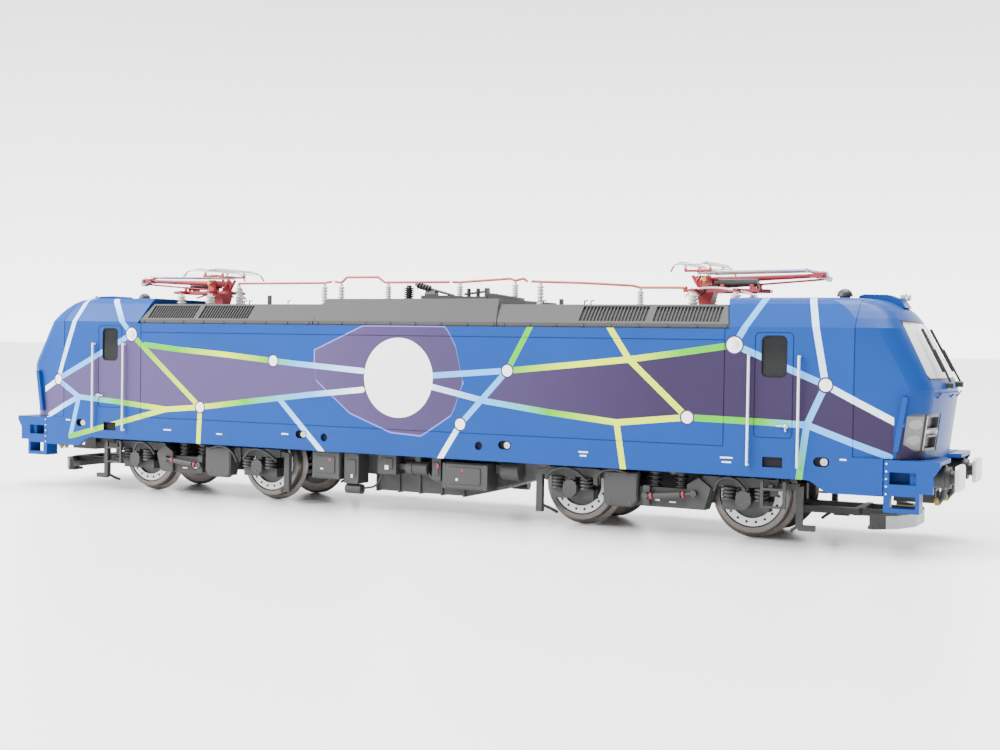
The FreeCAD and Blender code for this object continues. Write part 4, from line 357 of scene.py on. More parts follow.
def between(g, x, z, top, bottom, grow=0.0):
    """One inside the field between two edges, grown all round."""
    share = g.math("MULTIPLY_ADD", x, 1.0 / (2 * BODY_HALF), 0.5)
    under = g.math("LESS_THAN", z, g.math("ADD", edge_height(g, share, top), grow))
    over = g.math("GREATER_THAN", z, g.math("SUBTRACT", edge_height(g, share, bottom), grow))
    after = g.math("GREATER_THAN", x, top[0][0] - grow)
    before = g.math("LESS_THAN", x, top[-1][0] + grow)
    return g.math("MULTIPLY", g.math("MULTIPLY", under, over), g.math("MULTIPLY", after, before))


def ring_mask(g, value, low, high):
    """One where the value lies between two limits."""
    return g.math("MULTIPLY", g.math("GREATER_THAN", value, low), g.math("LESS_THAN", value, high))


def near_shape(g, a, b, half_a, half_b, round_by=0.0):
    """Distance outside a rectangle of the given half sizes, less the rounding."""
    da = g.math("MAXIMUM", g.math("SUBTRACT", g.math("ABSOLUTE", a), half_a), 0.0)
    db = g.math("MAXIMUM", g.math("SUBTRACT", g.math("ABSOLUTE", b), half_b), 0.0)
    return g.math("SUBTRACT", g.vector("LENGTH", g.xyz(da, db, 0.0)), round_by)


def dark_trim_and_hole_shade(g, x, y, z):
    """Black rubber round the door windows and the windscreens, and painted shade inside the ports, filler
    recesses and step pockets.
    """
    along = g.math("ABSOLUTE", x)
    across = g.math("ABSOLUTE", y)
    on_side = g.math("GREATER_THAN", across, WALL_Y)

    def shape(at_x, at_z, half_x, half_z, round_by):
        """Distance outside a rounded opening centred on a point of the side wall."""
        aside, above = g.math("SUBTRACT", along, at_x), g.math("SUBTRACT", z, at_z)
        return near_shape(g, aside, above, half_x, half_z, round_by)

    seal = g.math("LESS_THAN", shape(DOOR_X, WINDOW_Z, 1.25, 2.65, 0.9), 0.2)
    # Painted shade: the port, filler recesses and step pockets are painted black inside.
    port = shape(PORT_X, PORT_Z, 0.0, 0.0, PORT_R)
    shaded_holes = g.math("MINIMUM", port, shape(DOOR_X, POCKET_Z, 1.8, 0.9, 0.02))
    for filler_x in FILLER_XS:
        shaded_holes = g.math("MINIMUM", shaded_holes, shape(filler_x, FILLER_Z, 0.57, 0.0, PORT_R))
    side = g.math("MULTIPLY", on_side, g.math("MAXIMUM", seal, g.math("LESS_THAN", shaded_holes, 0.0)))
    half = g.math("MULTIPLY_ADD", g.math("SUBTRACT", z, 30.5), -0.153, 12.9)
    screen = g.math("MULTIPLY", g.math("LESS_THAN", across, half), ring_mask(g, z, *SCREEN_Z))
    screen = g.math("MULTIPLY", screen, g.math("GREATER_THAN", along, SCREEN_X))
    return g.math("MAXIMUM", side, screen)


def livery():
    """Body paint: the line network over purple fields on blue, the same from both sides; the purple carries a
    painted sheen, lighter towards the rear end on the near side and towards the front end on the far side.
    """
    made, g, shader = new_material("body_livery", 0.0, 0.34)
    shader.inputs["Specular IOR Level"].default_value = 0.09
    place = g.place()
    x, y, z = g.split(place)
    side_x = g.math("MULTIPLY", x, g.math("MULTIPLY", g.math("SIGN", y), -1.0))
    point = g.xyz(side_x, 0.0, z)
    fine = g.noise(place, 1.1, 4.0, 0.6)
    broad = g.noise(place, 0.05, 2.0)
    blue = g.mix(broad, tuple(c * 0.9 for c in BLUE), tuple(c * 1.1 for c in BLUE))
    # Painted sheen: the purple is lighter at the rear end of the near side and the front end of the far side,
    # darker towards the other end.
    share = g.math("MULTIPLY_ADD", side_x, 0.012, 0.3, clamp=True)
    purple = g.mix(share, PURPLE_PAINTED_SHEEN, PURPLE_PAINTED_SHADE)
    ring = between(g, side_x, z, SHIELD_TOP, SHIELD_BOTTOM, 0.3)
    shield = between(g, side_x, z, SHIELD_TOP, SHIELD_BOTTOM)
    field = between(g, side_x, z, FIELD_TOP, FIELD_BOTTOM)
    colour = g.mix(g.math("MAXIMUM", field, ring), blue, purple)
    trim = g.math("MULTIPLY", ring, g.math("SUBTRACT", 1.0, shield))
    colour = g.mix(trim, colour, VIOLET)
    group = line_group()
    for a, b, first, last in LINES:
        colour = paint(g, group, colour, point, P[a], P[b], LINE, first, last)
    for names, size in ((STOPS, 1.42), (LARGE_STOPS, 1.75)):
        for name in names:
            colour = paint(g, group, colour, point, P[name], P[name], size, OUTLINE, OUTLINE)
            colour = paint(g, group, colour, point, P[name], P[name], size - 0.3, WHITE, WHITE)
    colour = paint(g, group, colour, point, P["hub"], P["hub"], HUB_R, WHITE, WHITE)
    across = g.math("ABSOLUTE", y)
    outer = g.math("GREATER_THAN", across, PAINT_INNER_Y)
    on_side = g.math("MULTIPLY", g.math("LESS_THAN", z, PAINT_TOP_Z), outer)
    colour = g.mix(on_side, blue, colour)
    on_nose = g.math("GREATER_THAN", g.math("ABSOLUTE", x), BLADE_X)
    blade = g.math("MULTIPLY", on_nose, g.math("GREATER_THAN", across, BLADE_Y))
    colour = g.mix(blade, colour, blue)
    # Black rubber trim, and painted shade inside the ports, filler recesses and step pockets.
    colour = g.mix(dark_trim_and_hole_shade(g, x, y, z), colour, INK_AND_SHADE)
    g.feed(shader.inputs["Base Color"], colour)
    g.feed(shader.inputs["Roughness"], g.math("MULTIPLY_ADD", fine, 0.14, 0.27))
    bump(g, shader, fine, 0.2, 0.012 * MM)
    return made


def wheel_finish(axle_x):
    """Wheel steel: worn tread, white brake ring, dark web, all by radius from the axle."""
    made, g, shader = new_material("wheel_finish", 0.0, 0.4)
    x, y, z = g.split(g.place())
    dx = g.math("SUBTRACT", x, axle_x)
    dz = g.math("SUBTRACT", z, AXLE_Z)
    radius = g.vector("LENGTH", g.xyz(dx, 0.0, dz))
    outward = g.math("ABSOLUTE", y)
    on_face = g.math("GREATER_THAN", outward, WHEEL_FACE_Y)
    standing = g.math("GREATER_THAN", outward, BRAKE_RING_Y)
    ring = g.math("MULTIPLY", ring_mask(g, radius, *BRAKE_RING_R), standing)
    rim = g.math("GREATER_THAN", radius, RIM_R)
    turns = g.math("MULTIPLY", g.math("ARCTAN2", dz, dx), BOLTS / (2 * math.pi))
    off_round = g.math("SUBTRACT", turns, g.math("ROUND", turns))
    aside = g.math("MULTIPLY", off_round, 2 * math.pi * BOLT_R / BOLTS)
    outside = g.math("SUBTRACT", radius, BOLT_R)
    bolt = g.math("LESS_THAN", g.vector("LENGTH", g.xyz(aside, outside, 0.0)), BOLT_HEAD_R)
    grain = g.noise(g.place(), 1.6, 4.0, 0.6)
    steel = g.mix(grain, (0.115, 0.100, 0.092), (0.20, 0.18, 0.165))
    dark = g.mix(grain, (0.012, 0.012, 0.012), (0.022, 0.022, 0.022))
    white = g.mix(grain, (0.74, 0.75, 0.76), (0.86, 0.87, 0.88))
    colour = g.mix(rim, dark, steel)
    colour = g.mix(g.math("MULTIPLY", ring, on_face), colour, white)
    colour = g.mix(g.math("MULTIPLY", bolt, on_face), colour, dark)
    g.feed(shader.inputs["Base Color"], colour)
    g.feed(shader.inputs["Metallic"], g.math("MULTIPLY", rim, 0.75))
    g.feed(shader.inputs["Roughness"], g.math("MULTIPLY_ADD", grain, 0.2, 0.25))
    bump(g, shader, grain, 0.25, 0.02 * MM)
    return made


def grille_hatch():
    """Roof hatch: grey moulding with dark louvre panels on the slopes and a dark foot joint."""
    made, g, shader = new_material("hatch_grey", 0.0, 0.6)
    shader.inputs["Specular IOR Level"].default_value = 0.3
    place = g.place()
    x, y, z = g.split(place)
    along = g.math("ABSOLUTE", x)
    fine = g.noise(place, 2.2, 4.0, 0.6)
    panel = g.math("MAXIMUM", *(ring_mask(g, along, *span) for span in HATCH_PANELS))
    slope = ring_mask(g, z, *LOUVRE_Z)
    on_slope = g.math("GREATER_THAN", g.math("ABSOLUTE", y), HATCH_SLOPE_Y)
    louvre = g.math("MULTIPLY", panel, g.math("MULTIPLY", slope, on_slope))
    foot = g.math("MULTIPLY", ring_mask(g, z, *HATCH_FOOT_Z), on_slope)
    grey = g.mix(fine, (0.040, 0.040, 0.040), (0.060, 0.060, 0.060))
    colour = g.mix(louvre, grey, (0.034, 0.033, 0.033))
    colour = g.mix(foot, colour, (0.02, 0.02, 0.022))
    g.feed(shader.inputs["Base Color"], colour)
    g.feed(shader.inputs["Roughness"], g.math("MULTIPLY_ADD", fine, 0.2, 0.5))
    bump(g, shader, fine, 0.4, 0.03 * MM)
    return made


def base_frame_finish():
    """Pantograph base: red frame, black raising cylinder."""
    made, g, shader = new_material("pantograph_base", 0.0, 0.4)
    place = g.place()
    x, y, z = g.split(place)
    across = g.math("MULTIPLY", y, g.math("SIGN", x))
    fine = g.noise(place, 1.4, 4.0, 0.6)
    aside = g.math("SUBTRACT", across, LIFT_CYLINDER[0])
    above = g.math("SUBTRACT", z, LIFT_CYLINDER[1])
    near = g.vector("LENGTH", g.xyz(aside, above, 0.0))
    beyond = g.math("GREATER_THAN", g.math("ABSOLUTE", x), LIFT_CYLINDER_X)
    barrel = g.math("MULTIPLY", g.math("LESS_THAN", near, LIFT_CYLINDER_R), beyond)
    red = g.mix(fine, (0.30, 0.016, 0.026), (0.42, 0.030, 0.042))
    g.feed(shader.inputs["Base Color"], g.mix(barrel, red, (0.022, 0.022, 0.024)))
    g.feed(shader.inputs["Roughness"], g.math("MULTIPLY_ADD", fine, 0.2, 0.32))
    bump(g, shader, fine, 0.3, 0.02 * MM)
    return made


def buffer_finish():
    """Buffer head: pale bearing plate on a dark plunger."""
    made, g, shader = new_material("buffer_head", 0.2, 0.45)
    place = g.place()
    x = g.split(place)[0]
    fine = g.noise(place, 1.6, 4.0, 0.6)
    plate = g.math("GREATER_THAN", g.math("ABSOLUTE", x), PLATE_X)
    pale = g.mix(fine, (0.56, 0.62, 0.56), (0.70, 0.76, 0.70))
    g.feed(shader.inputs["Base Color"], g.mix(plate, (0.03, 0.028, 0.026), pale))
    g.feed(shader.inputs["Roughness"], g.math("MULTIPLY_ADD", fine, 0.2, 0.36))
    bump(g, shader, fine, 0.3, 0.02 * MM)
    return made


def guard_finish_with_painted_highlight():
    """Rail guard: dark arms and back, with a pale painted highlight on the low faces that point away from the
    body.
    """
    made, g, shader = new_material("rail_guard", 0.1, 0.5)
    place = g.place()
    x, _, z = g.split(place)
    fine = g.noise(place, 1.3, 4.0, 0.6)
    facing = g.split(g.node("ShaderNodeNewGeometry").outputs["Normal"])[0]
    # Painted highlight: the low faces turned away from the body are picked by their normal and painted pale.
    outward = g.math("GREATER_THAN", g.math("MULTIPLY", facing, g.math("SIGN", x)), 0.35)
    blade = g.math("MULTIPLY", outward, g.math("GREATER_THAN", g.math("ABSOLUTE", x), GUARD_X))
    blade = g.math("MULTIPLY", blade, g.math("LESS_THAN", z, GUARD_TOP_Z))
    dark = g.mix(fine, (0.026, 0.026, 0.025), (0.042, 0.041, 0.040))
    # The pale tone is the painted highlight; the rest of the guard is dark.
    pale = g.mix(fine, (0.42, 0.43, 0.44), (0.56, 0.57, 0.58))
    g.feed(shader.inputs["Base Color"], g.mix(blade, dark, pale))
    g.feed(shader.inputs["Roughness"], g.math("MULTIPLY_ADD", fine, 0.2, 0.42))
    bump(g, shader, fine, 0.3, 0.02 * MM)
    return made


def bezel_finish():
    """Inner part of a headlight unit: dark slats, a silver bar beside the lens and a bright middle slot."""
    made, g, shader = new_material("lamp_bezel", 0.3, 0.3)
    place = g.place()
    _, y, z = g.split(place)
    across = g.math("ABSOLUTE", y)
    fine = g.noise(place, 1.6, 4.0, 0.6)
    bar = ring_mask(g, across, LENS_EDGE_Y, LENS_EDGE_Y + 0.35)
    middle = g.math("MULTIPLY", ring_mask(g, z, 20.75, 21.55), g.math("LESS_THAN", across, LENS_EDGE_Y))
    rim = near_shape(g, g.math("SUBTRACT", across, BEZEL_Y), g.math("SUBTRACT", z, LAMP_Z), 2.6, 2.95)
    dark = g.mix(fine, (0.018, 0.019, 0.021), (0.034, 0.035, 0.038))
    colour = g.mix(bar, dark, (0.36, 0.37, 0.39))
    colour = g.mix(middle, colour, (0.72, 0.73, 0.75))
    colour = g.mix(g.math("GREATER_THAN", rim, 0.0), colour, (0.012, 0.012, 0.014))
    g.feed(shader.inputs["Base Color"], colour)
    g.feed(shader.inputs["Roughness"], g.math("MULTIPLY_ADD", fine, 0.2, 0.22))
    bump(g, shader, fine, 0.3, 0.01 * MM)
    return made


def cab_glass():
    """Glazing: door windows painted near black as painted shade, windscreens painted pale grey to near white
    as a painted reflection, and every pane lighter towards the top as painted reflection.
    """
    made, g, shader = new_material("window_glass", 0.0, 0.05, 0.1)
    shader.inputs["Specular IOR Level"].default_value = 0.3
    place = g.place()
    x, _, z = g.split(place)
    smear = g.noise(place, 0.25, 3.0)
    front = g.math("GREATER_THAN", g.math("ABSOLUTE", x), CAB_X)
    # Painted reflection: every pane grows lighter towards the top.
    reflection_rise = g.math("MULTIPLY_ADD", z, 0.09, -2.7, clamp=True)
    # The pale windscreen tones are a painted reflection.
    screen = g.mix(reflection_rise, (0.46, 0.49, 0.52), (0.92, 0.93, 0.94))
    # The near black door window tones are painted shade.
    shaded_window = g.mix(reflection_rise, (0.007, 0.008, 0.008), (0.015, 0.016, 0.017))
    g.feed(shader.inputs["Base Color"], g.mix(front, shaded_window, screen))
    g.feed(shader.inputs["Roughness"], g.math("MULTIPLY_ADD", smear, 0.06, 0.03))
    shader.inputs["Alpha"].default_value = 0.9
    return made


def lamp_glass():
    """Headlight lens: grey ribbed glass over two reflectors, with a dark rim."""
    made, g, shader = new_material("lamp_lens", 0.0, 0.12, 0.3)
    place = g.place()
    _, y, z = g.split(place)
    across = g.math("ABSOLUTE", y)
    fine = g.noise(place, 1.0, 3.0)
    ribs = g.math("SINE", g.math("MULTIPLY", across, 9.0))
    aside = g.math("SUBTRACT", across, LENS_Y)
    rim = near_shape(g, aside, g.math("SUBTRACT", z, LAMP_Z), 1.02, 2.82)
    upper = near_shape(g, aside, g.math("SUBTRACT", z, 22.6), 0.0, 0.0, 0.85)
    lower = near_shape(g, aside, g.math("SUBTRACT", z, 19.9), 0.0, 0.0, 0.85)
    bowl = g.math("LESS_THAN", g.math("MINIMUM", upper, lower), 0.0)
    clear = g.mix(fine, (0.10, 0.10, 0.10), (0.21, 0.21, 0.21))
    colour = g.mix(bowl, clear, (0.27, 0.27, 0.27))
    colour = g.mix(g.math("GREATER_THAN", rim, 0.0), colour, (0.012, 0.012, 0.014))
    g.feed(shader.inputs["Base Color"], colour)
    g.feed(shader.inputs["Roughness"], g.math("MULTIPLY_ADD", ribs, 0.03, 0.14))
    bump(g, shader, ribs, 0.5, 0.04 * MM)
    return made


def head_finish():
    """Collector head: silver strips and horns on red supports."""
    made, g, shader = new_material("pantograph_head", 0.6, 0.35)
    place = g.place()
    z = g.split(place)[2]
    fine = g.noise(place, 1.8, 4.0, 0.6)
    low = g.math("LESS_THAN", z, HEAD_SUPPORT_TOP_Z)
    silver = g.mix(fine, (0.46, 0.46, 0.46), (0.66, 0.66, 0.67))
    g.feed(shader.inputs["Base Color"], g.mix(low, silver, (0.34, 0.02, 0.03)))
    g.feed(shader.inputs["Metallic"], g.math("MULTIPLY_ADD", low, -0.7, 0.7))
    g.feed(shader.inputs["Roughness"], g.math("MULTIPLY_ADD", fine, 0.2, 0.28))
    return made


PAINT = livery()
PLAIN_BLUE = surface("plain_blue", BLUE, 0.34, vary=0.05, shine=0.09)
HATCH = grille_hatch()
UNDER = surface("underframe_grey", (0.028, 0.028, 0.027), 0.6, vary=0.18, grain=1.6)
GUARD = guard_finish_with_painted_highlight()
BOLT = surface("bolt_grey", (0.075, 0.075, 0.074), 0.45, 0.3, 0.15)
DARK = surface("dark_plastic", (0.020, 0.020, 0.021), 0.5, vary=0.18)
BLACK = surface("black_rubber", (0.010, 0.010, 0.010), 0.5, vary=0.2)
RED = surface("pantograph_red", (0.34, 0.020, 0.032), 0.4, vary=0.12)
BUS = surface("busbar_red", (0.52, 0.075, 0.055), 0.4, vary=0.1)
SILVER = surface("silver", (0.55, 0.56, 0.57), 0.32, 0.7, 0.08, 3.0)
PORCELAIN = surface("insulator_white", (0.78, 0.78, 0.76), 0.35, vary=0.05)
RAIL = surface("rail_white", (0.72, 0.74, 0.76), 0.35, 0.1, 0.05)
CAST = surface("cast_frame", (0.028, 0.028, 0.029), 0.6, 0.2, 0.15)
BUFFER = buffer_finish()
STEEL = surface("steel", (0.32, 0.32, 0.32), 0.35, 0.85, 0.1)
BRASS = surface("brass", (0.62, 0.36, 0.10), 0.32, 0.85, 0.1)
NYLON = surface("nylon", (0.66, 0.62, 0.48), 0.45, vary=0.06)
BOARD = surface("board_green", (0.012, 0.085, 0.028), 0.45, vary=0.15)
CAB = surface("cab_moulding", (0.18, 0.175, 0.16), 0.6, vary=0.1)
SLEEVE = surface("sleeve_dark", (0.045, 0.042, 0.040), 0.5, 0.2, 0.12)
WINDOW = cab_glass()
LENS = lamp_glass()
BEZEL = bezel_finish()
HEAD = head_finish()
BASE = base_frame_finish()
MARK_WHITE = surface("mark_white", (0.80, 0.81, 0.82), 0.5, vary=0.04)
MARK_RED = surface("mark_red", (0.30, 0.020, 0.030), 0.5, vary=0.08)
MARK_YELLOW = surface("mark_yellow", (0.40, 0.27, 0.05), 0.5, vary=0.08)

FINISH = {
    "body_shell": PAINT, "nose_rails": PLAIN_BLUE, "glazing": WINDOW, "headlight_lenses": LENS,
    "headlight_bezels": BEZEL, "door_handrails": RAIL, "wipers": DARK, "buffer_beams": PLAIN_BLUE,
    "brake_hoses": BLACK, "buffer_sleeves": SLEEVE, "pantograph_bases": BASE,
    "roof_hatches_outer": HATCH, "roof_hatch_centre": HATCH, "roof_insulators": PORCELAIN,
    "roof_busbar": BUS, "roof_equipment": DARK, "chassis_frame": CAST, "body_screws": STEEL,
    "motor_can": STEEL, "drive_shaft": STEEL, "circuit_board": BOARD, "cab_interiors": CAB,
    "underfloor_tank": UNDER, "equipment_boxes": UNDER,
}
# finishes by the start of the node's name, the longer starts first
STARTS = {
    "pantograph_head": HEAD, "pantograph_upper": SILVER, "pantograph": RED, "buffer_head": BUFFER,
    "bogie_springs": DARK, "bogie": UNDER, "rail_guard": GUARD, "coupler": DARK, "worm": BRASS,
    "centre_gear": NYLON, "idler": NYLON,
}


def finish_nodes():
    """Gives every node of the CAD its finish."""
    for name, node in frame["nodes"].items():
        chosen = FINISH.get(name)
        if chosen is None and name.startswith("wheelset"):
            lo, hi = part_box(name)
            chosen = wheel_finish((lo.x + hi.x) / 2 / MM)
        if chosen is None:
            chosen = next(m for start, m in STARTS.items() if name.startswith(start))
        node.data.materials.clear()
        node.data.materials.append(chosen)


finish_nodes()


# ---------------------------------------------------------------- small added pieces
def ring_faces(bm, rings):
    """Skins a list of vertex rings, each with the same count, and closes both ends."""
    count = len(rings[0])
    for one, other in zip(rings, rings[1:]):
        for i in range(count):
            j = (i + 1) % count
            bm.faces.new((one[i], one[j], other[j], other[i]))
    bm.faces.new(tuple(reversed(rings[0])))
    bm.faces.new(tuple(rings[-1]))


def axes_for(direction):
    """The direction made a unit vector, and two unit vectors across it."""
    along = Vector(direction).normalized()
    helper = Vector((0, 0, 1)) if abs(along.z) < 0.9 else Vector((1, 0, 0))
    u = helper.cross(along).normalized()
    return along, u, along.cross(u)


def turned(bm, at, direction, profile, sides=20):
    """A turned part: the profile is (distance along, radius) from the start to the end."""
    along, u, v = axes_for(direction)
    angles = [2 * math.pi * i / sides for i in range(sides)]
    spokes = [u * math.cos(a) + v * math.sin(a) for a in angles]
    rings = []
    for step, radius in profile:
        centre = Vector(at) + along * step
        rings.append([bm.verts.new((centre + spoke * radius) * MM) for spoke in spokes])
    ring_faces(bm, rings)


def stud(bm, at, direction, radius, height):
    """A domed rivet or screw head."""
    arc = [i * math.pi / 10 for i in range(5)]
    dome = [(height * (0.35 + 0.65 * math.sin(a)), radius * math.cos(a)) for a in arc]
    turned(bm, at, direction, [(-0.05, radius)] + dome, 12)


def tile(bm, centre, across, upright, size, corner, thick):
    """A thin plate with rounded corners and a chamfered face, standing out along across x upright."""
    u, v = Vector(across).normalized(), Vector(upright).normalized()
    out = u.cross(v)
    rings = []
    for lift, inset in ((-0.04, 0.0), (thick * 0.6, 0.0), (thick, thick * 0.4)):
        ring = []
        half_u, half_v = size[0] / 2 - inset, size[1] / 2 - inset
        radius = min(corner, half_u, half_v)
        for quarter in range(4):
            for i in range(4):
                a = (quarter + i / 3) * math.pi / 2
                cu = (half_u - radius) * (1 if quarter in (0, 3) else -1)
                cv = (half_v - radius) * (1 if quarter in (0, 1) else -1)
                du = u * (cu + radius * math.cos(a))
                dv = v * (cv + radius * math.sin(a))
                ring.append(bm.verts.new((Vector(centre) + du + dv + out * lift) * MM))
        rings.append(ring)
    ring_faces(bm, rings)


def piece(name, build, material, body):
    """Builds a mesh piece, gives it its finish and lets it ride on a body."""
    bm = bmesh.new()
    build(bm)
    bmesh.ops.recalc_face_normals(bm, faces=bm.faces)
    mesh = bpy.data.meshes.new(name)
    bm.to_mesh(mesh)
    bm.free()
    for face in mesh.polygons:
        face.use_smooth = True
    mesh.materials.append(material)
    made = bpy.data.objects.new(name, mesh)
    bpy.context.scene.collection.objects.link(made)
    mesh.set_sharp_from_angle(angle=math.radians(35))
    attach(made, body)


def hose(name, lines, radius, material, body):
    """Bent hoses, pipes and cables through lists of points."""
    data = bpy.data.curves.new(name, "CURVE")
    data.dimensions = "3D"
    data.bevel_depth = radius * MM
    data.bevel_resolution = 3
    data.resolution_u = 8
    data.use_fill_caps = True
    for points in lines:
        spline = data.splines.new("BEZIER")
        spline.bezier_points.add(len(points) - 1)
        for knot, point in zip(spline.bezier_points, points):
            knot.co = Vector(point) * MM
            knot.handle_left_type = knot.handle_right_type = "AUTO"
    data.materials.append(material)
    made = bpy.data.objects.new(name, data)
    bpy.context.scene.collection.objects.link(made)
    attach(made, body)


def spin(sign, point):
    """The point as it is for the front end (sign 1), turned half round for the rear end (sign -1)."""
    return (sign * point[0], sign * point[1], point[2])


def side_tile(bm, sign, centre, size, corner, thick):
    """A thin plate on one side of the model, given where it is on the near side."""
    tile(bm, spin(sign, centre), (sign, 0, 0), (0, 0, 1), size, corner, thick)


ENDS = (("front", 1), ("rear", -1))
BOTH = (-1, 1)


def body_details():
    """Door handles, caps, side knobs, rivets, platform studs and small plain marks on the body sides."""
    def handles(bm):
        for sign in BOTH:
            for x, z in ((80.0, 21.5), (-81.15, 22.0)):
                at = spin(sign, (x, -SIDE, z))
                out = (0, -sign, 0)
                turned(bm, at, out, [(-0.1, 0.42), (0.16, 0.42), (0.24, 0.3), (0.42, 0.26)], 16)
                towards = 0.7 if x > 0 else -0.7
                side_tile(bm, sign, (x - towards, -SIDE - 0.42, z + 0.05), (2.1, 0.34), 0.16, 0.16)
                side_tile(bm, sign, (x, -SIDE - 0.4, z - 0.35), (0.3, 1.2), 0.14, 0.14)
    piece("door_handles", handles, SILVER, "chassis")

    def caps(bm):
        lid = [(-0.1, 0.72), (0.38, 0.72), (0.5, 0.6), (0.5, 0.35), (0.4, 0.3)]
        for sign in BOTH:
            for x in [side * x for side in BOTH for x in FILLER_XS]:
                turned(bm, spin(sign, (x + 0.45, -16.7, FILLER_Z)), (0, -sign, 0), lid)
                stud(bm, spin(sign, (x + 0.45, -17.08, FILLER_Z)), (0, -sign, 0), 0.24, 0.18)
    piece("filler_caps", caps, SILVER, "chassis")

    def knobs(bm):
        dome = [(-0.1, 0.85), (0.1, 0.85), (0.3, 0.7), (0.38, 0.4)]
        for sign in BOTH:
            for x, z in (P["harbour"], P["hill"]):
                turned(bm, spin(sign, (x, -SIDE, z)), (0, -sign, 0), dome)
    piece("side_knobs", knobs, MARK_WHITE, "chassis")

    def rivets(bm):
        for sign in BOTH:
            for side in BOTH:
                for z in (10.6, 11.9, 13.2, 14.5, 15.8):
                    stud(bm, (sign * 97.6, side * 17.2, z), (0, side, 0), 0.17, 0.1)
    piece("skirt_rivets", rivets, MARK_WHITE, "chassis")

    def treads(bm):
        for sign in BOTH:
            for side in BOTH:
                for i in range(7):
                    for j in range(9):
                        x, y = 98.4 + i * 0.95, 7.6 + j * 1.0
                        stud(bm, (sign * x, side * y, 16.45), (0, 0, 1), 0.2, 0.1)
    piece("platform_studs", treads, PLAIN_BLUE, "chassis")

    def dashes(bm):
        places = (
            (69.2, 15.4, 2.4), (69.2, 14.6, 1.8), (-28.4, 15.4, 1.8), (-60.6, 14.9, 2.2), (41.0, 15.0, 2.0),
            (41.0, 14.3, 1.4), (-46.0, 14.6, 1.6), (90.2, 16.1, 1.2), (-90.4, 16.0, 1.4),
        )
        for sign in BOTH:
            for x, z, width in places:
                side_tile(bm, sign, (x, -SIDE, z), (width, 0.3), 0.12, 0.03)
    piece("side_dashes", dashes, MARK_WHITE, "chassis")


def roof_details():
    """Lamps over the windscreens, and the cable, air line and pivots of each collector."""
    def lights(bm):
        for sign in BOTH:
            for y in (-1.9, 1.9):
                at = (sign * 96.9, y, 45.0)
                turned(bm, at, (sign, 0, 0), [(-0.4, 0.62), (0.55, 0.62), (0.7, 0.5), (0.72, 0.2)], 18)
    piece("top_lights", lights, SILVER, "chassis")
    cable = (
        (56.4, -5.2, 45.0), (58.0, -4.6, 46.2), (61.4, -3.9, 46.7), (66.0, -3.9, 46.2), (70.4, -4.2, 45.2),
    )
    air_line = ((62.6, -2.6, 47.6), (61.4, -3.2, 47.4), (60.2, -3.8, 46.4), (59.4, -4.4, 45.2))
    for end, sign in ENDS:
        hose("collector_cable_" + end, [[spin(sign, p) for p in cable]], 0.22, MARK_WHITE, "chassis")
        hose("collector_air_line_" + end, [[spin(sign, p) for p in air_line]], 0.16, BLACK, "chassis")

        def knobs(bm):
            cap = [(-0.35, 0.55), (0.3, 0.55), (0.4, 0.45), (0.62, 0.4)]
            for side in BOTH:
                turned(bm, spin(sign, (60.0, side * 3.75, 48.35)), (0, sign * side, 0), cap, 18)
        piece("collector_pivots_" + end, knobs, BRASS, "chassis")


def end_details():
    """Couplings of the brake hoses on each end."""
    def couplings(bm):
        coupling = [(-0.2, 0.5), (0.0, 0.6), (0.45, 0.6), (0.55, 0.46), (0.9, 0.46), (1.0, 0.3)]
        for sign in BOTH:
            for y in (-5.6, -3.9, 3.9, 5.6):
                turned(bm, (sign * 104.2, y * 0.96, 8.9), (0, 0, -1), coupling, 16)
    piece("hose_couplings", couplings, MARK_YELLOW, "chassis")


def underfloor_details():
    """Plates, bolts, small marks and pipes on the equipment between the bogies."""
    def on_equipment(places, corner, thick):
        def build(bm):
            for sign in BOTH:
                for x, y, z, width, height in places:
                    side_tile(bm, sign, (x, -y, z), (width, height), corner, thick)
        return build

    covers = (
        (-18.7, 15.95, 9.3, 4.6, 3.6), (14.7, 16.0, 8.8, 7.2, 3.4), (-12.6, 15.4, 9.0, 2.2, 3.4),
        (-4.4, 14.6, 10.2, 2.8, 2.4), (7.6, 15.0, 9.8, 1.2, 2.8),
    )
    piece("equipment_covers", on_equipment(covers, 0.35, 0.18), UNDER, "chassis")

    def bolts(bm):
        boxes = (
            (-18.7, 15.95, 9.2, 6.2, 5.0), (14.7, 16.0, 8.7, 9.2, 4.6), (-12.6, 15.4, 8.8, 2.8, 5.4),
        )
        for sign in BOTH:
            for x, y, z, width, height in boxes:
                for i in BOTH:
                    for j in BOTH:
                        at = spin(sign, (x + i * width / 2, -y, z + j * height / 2))
                        stud(bm, at, (0, -sign, 0), 0.22, 0.16)
    piece("equipment_bolts", bolts, BOLT, "chassis")

    marks = ((-17.6, 16.13, 10.4, 0.55, 0.55), (14.2, 16.18, 9.9, 0.5, 0.5), (8.0, 15.18, 10.4, 0.6, 0.9))
    piece("equipment_marks", on_equipment(marks, 0.1, 0.04), MARK_RED, "chassis")
    labels = (
        (-19.6, 16.13, 8.4, 0.7, 0.3), (13.0, 16.18, 8.0, 0.5, 0.5), (-4.4, 14.78, 9.4, 0.9, 0.9),
        (-12.4, 15.58, 7.2, 0.5, 0.7),
    )
    piece("equipment_labels", on_equipment(labels, 0.1, 0.04), MARK_WHITE, "chassis")
    runs = (
        ((-22.0, -15.0, 12.2), (-18.6, -15.3, 12.5), (-10.6, -15.2, 12.4), (-7.2, -14.2, 12.2)),
        ((-10.4, -13.9, 4.6), (-7.6, -13.8, 5.4), (-6.2, -13.4, 7.6)),
        ((5.4, -14.2, 9.0), (6.0, -14.6, 8.2), (8.8, -14.8, 7.0), (9.8, -14.6, 6.8)),
    )
    lines = [[spin(sign, p) for p in run] for sign in BOTH for run in runs]
    hose("equipment_pipes", lines, 0.24, CAST, "chassis")


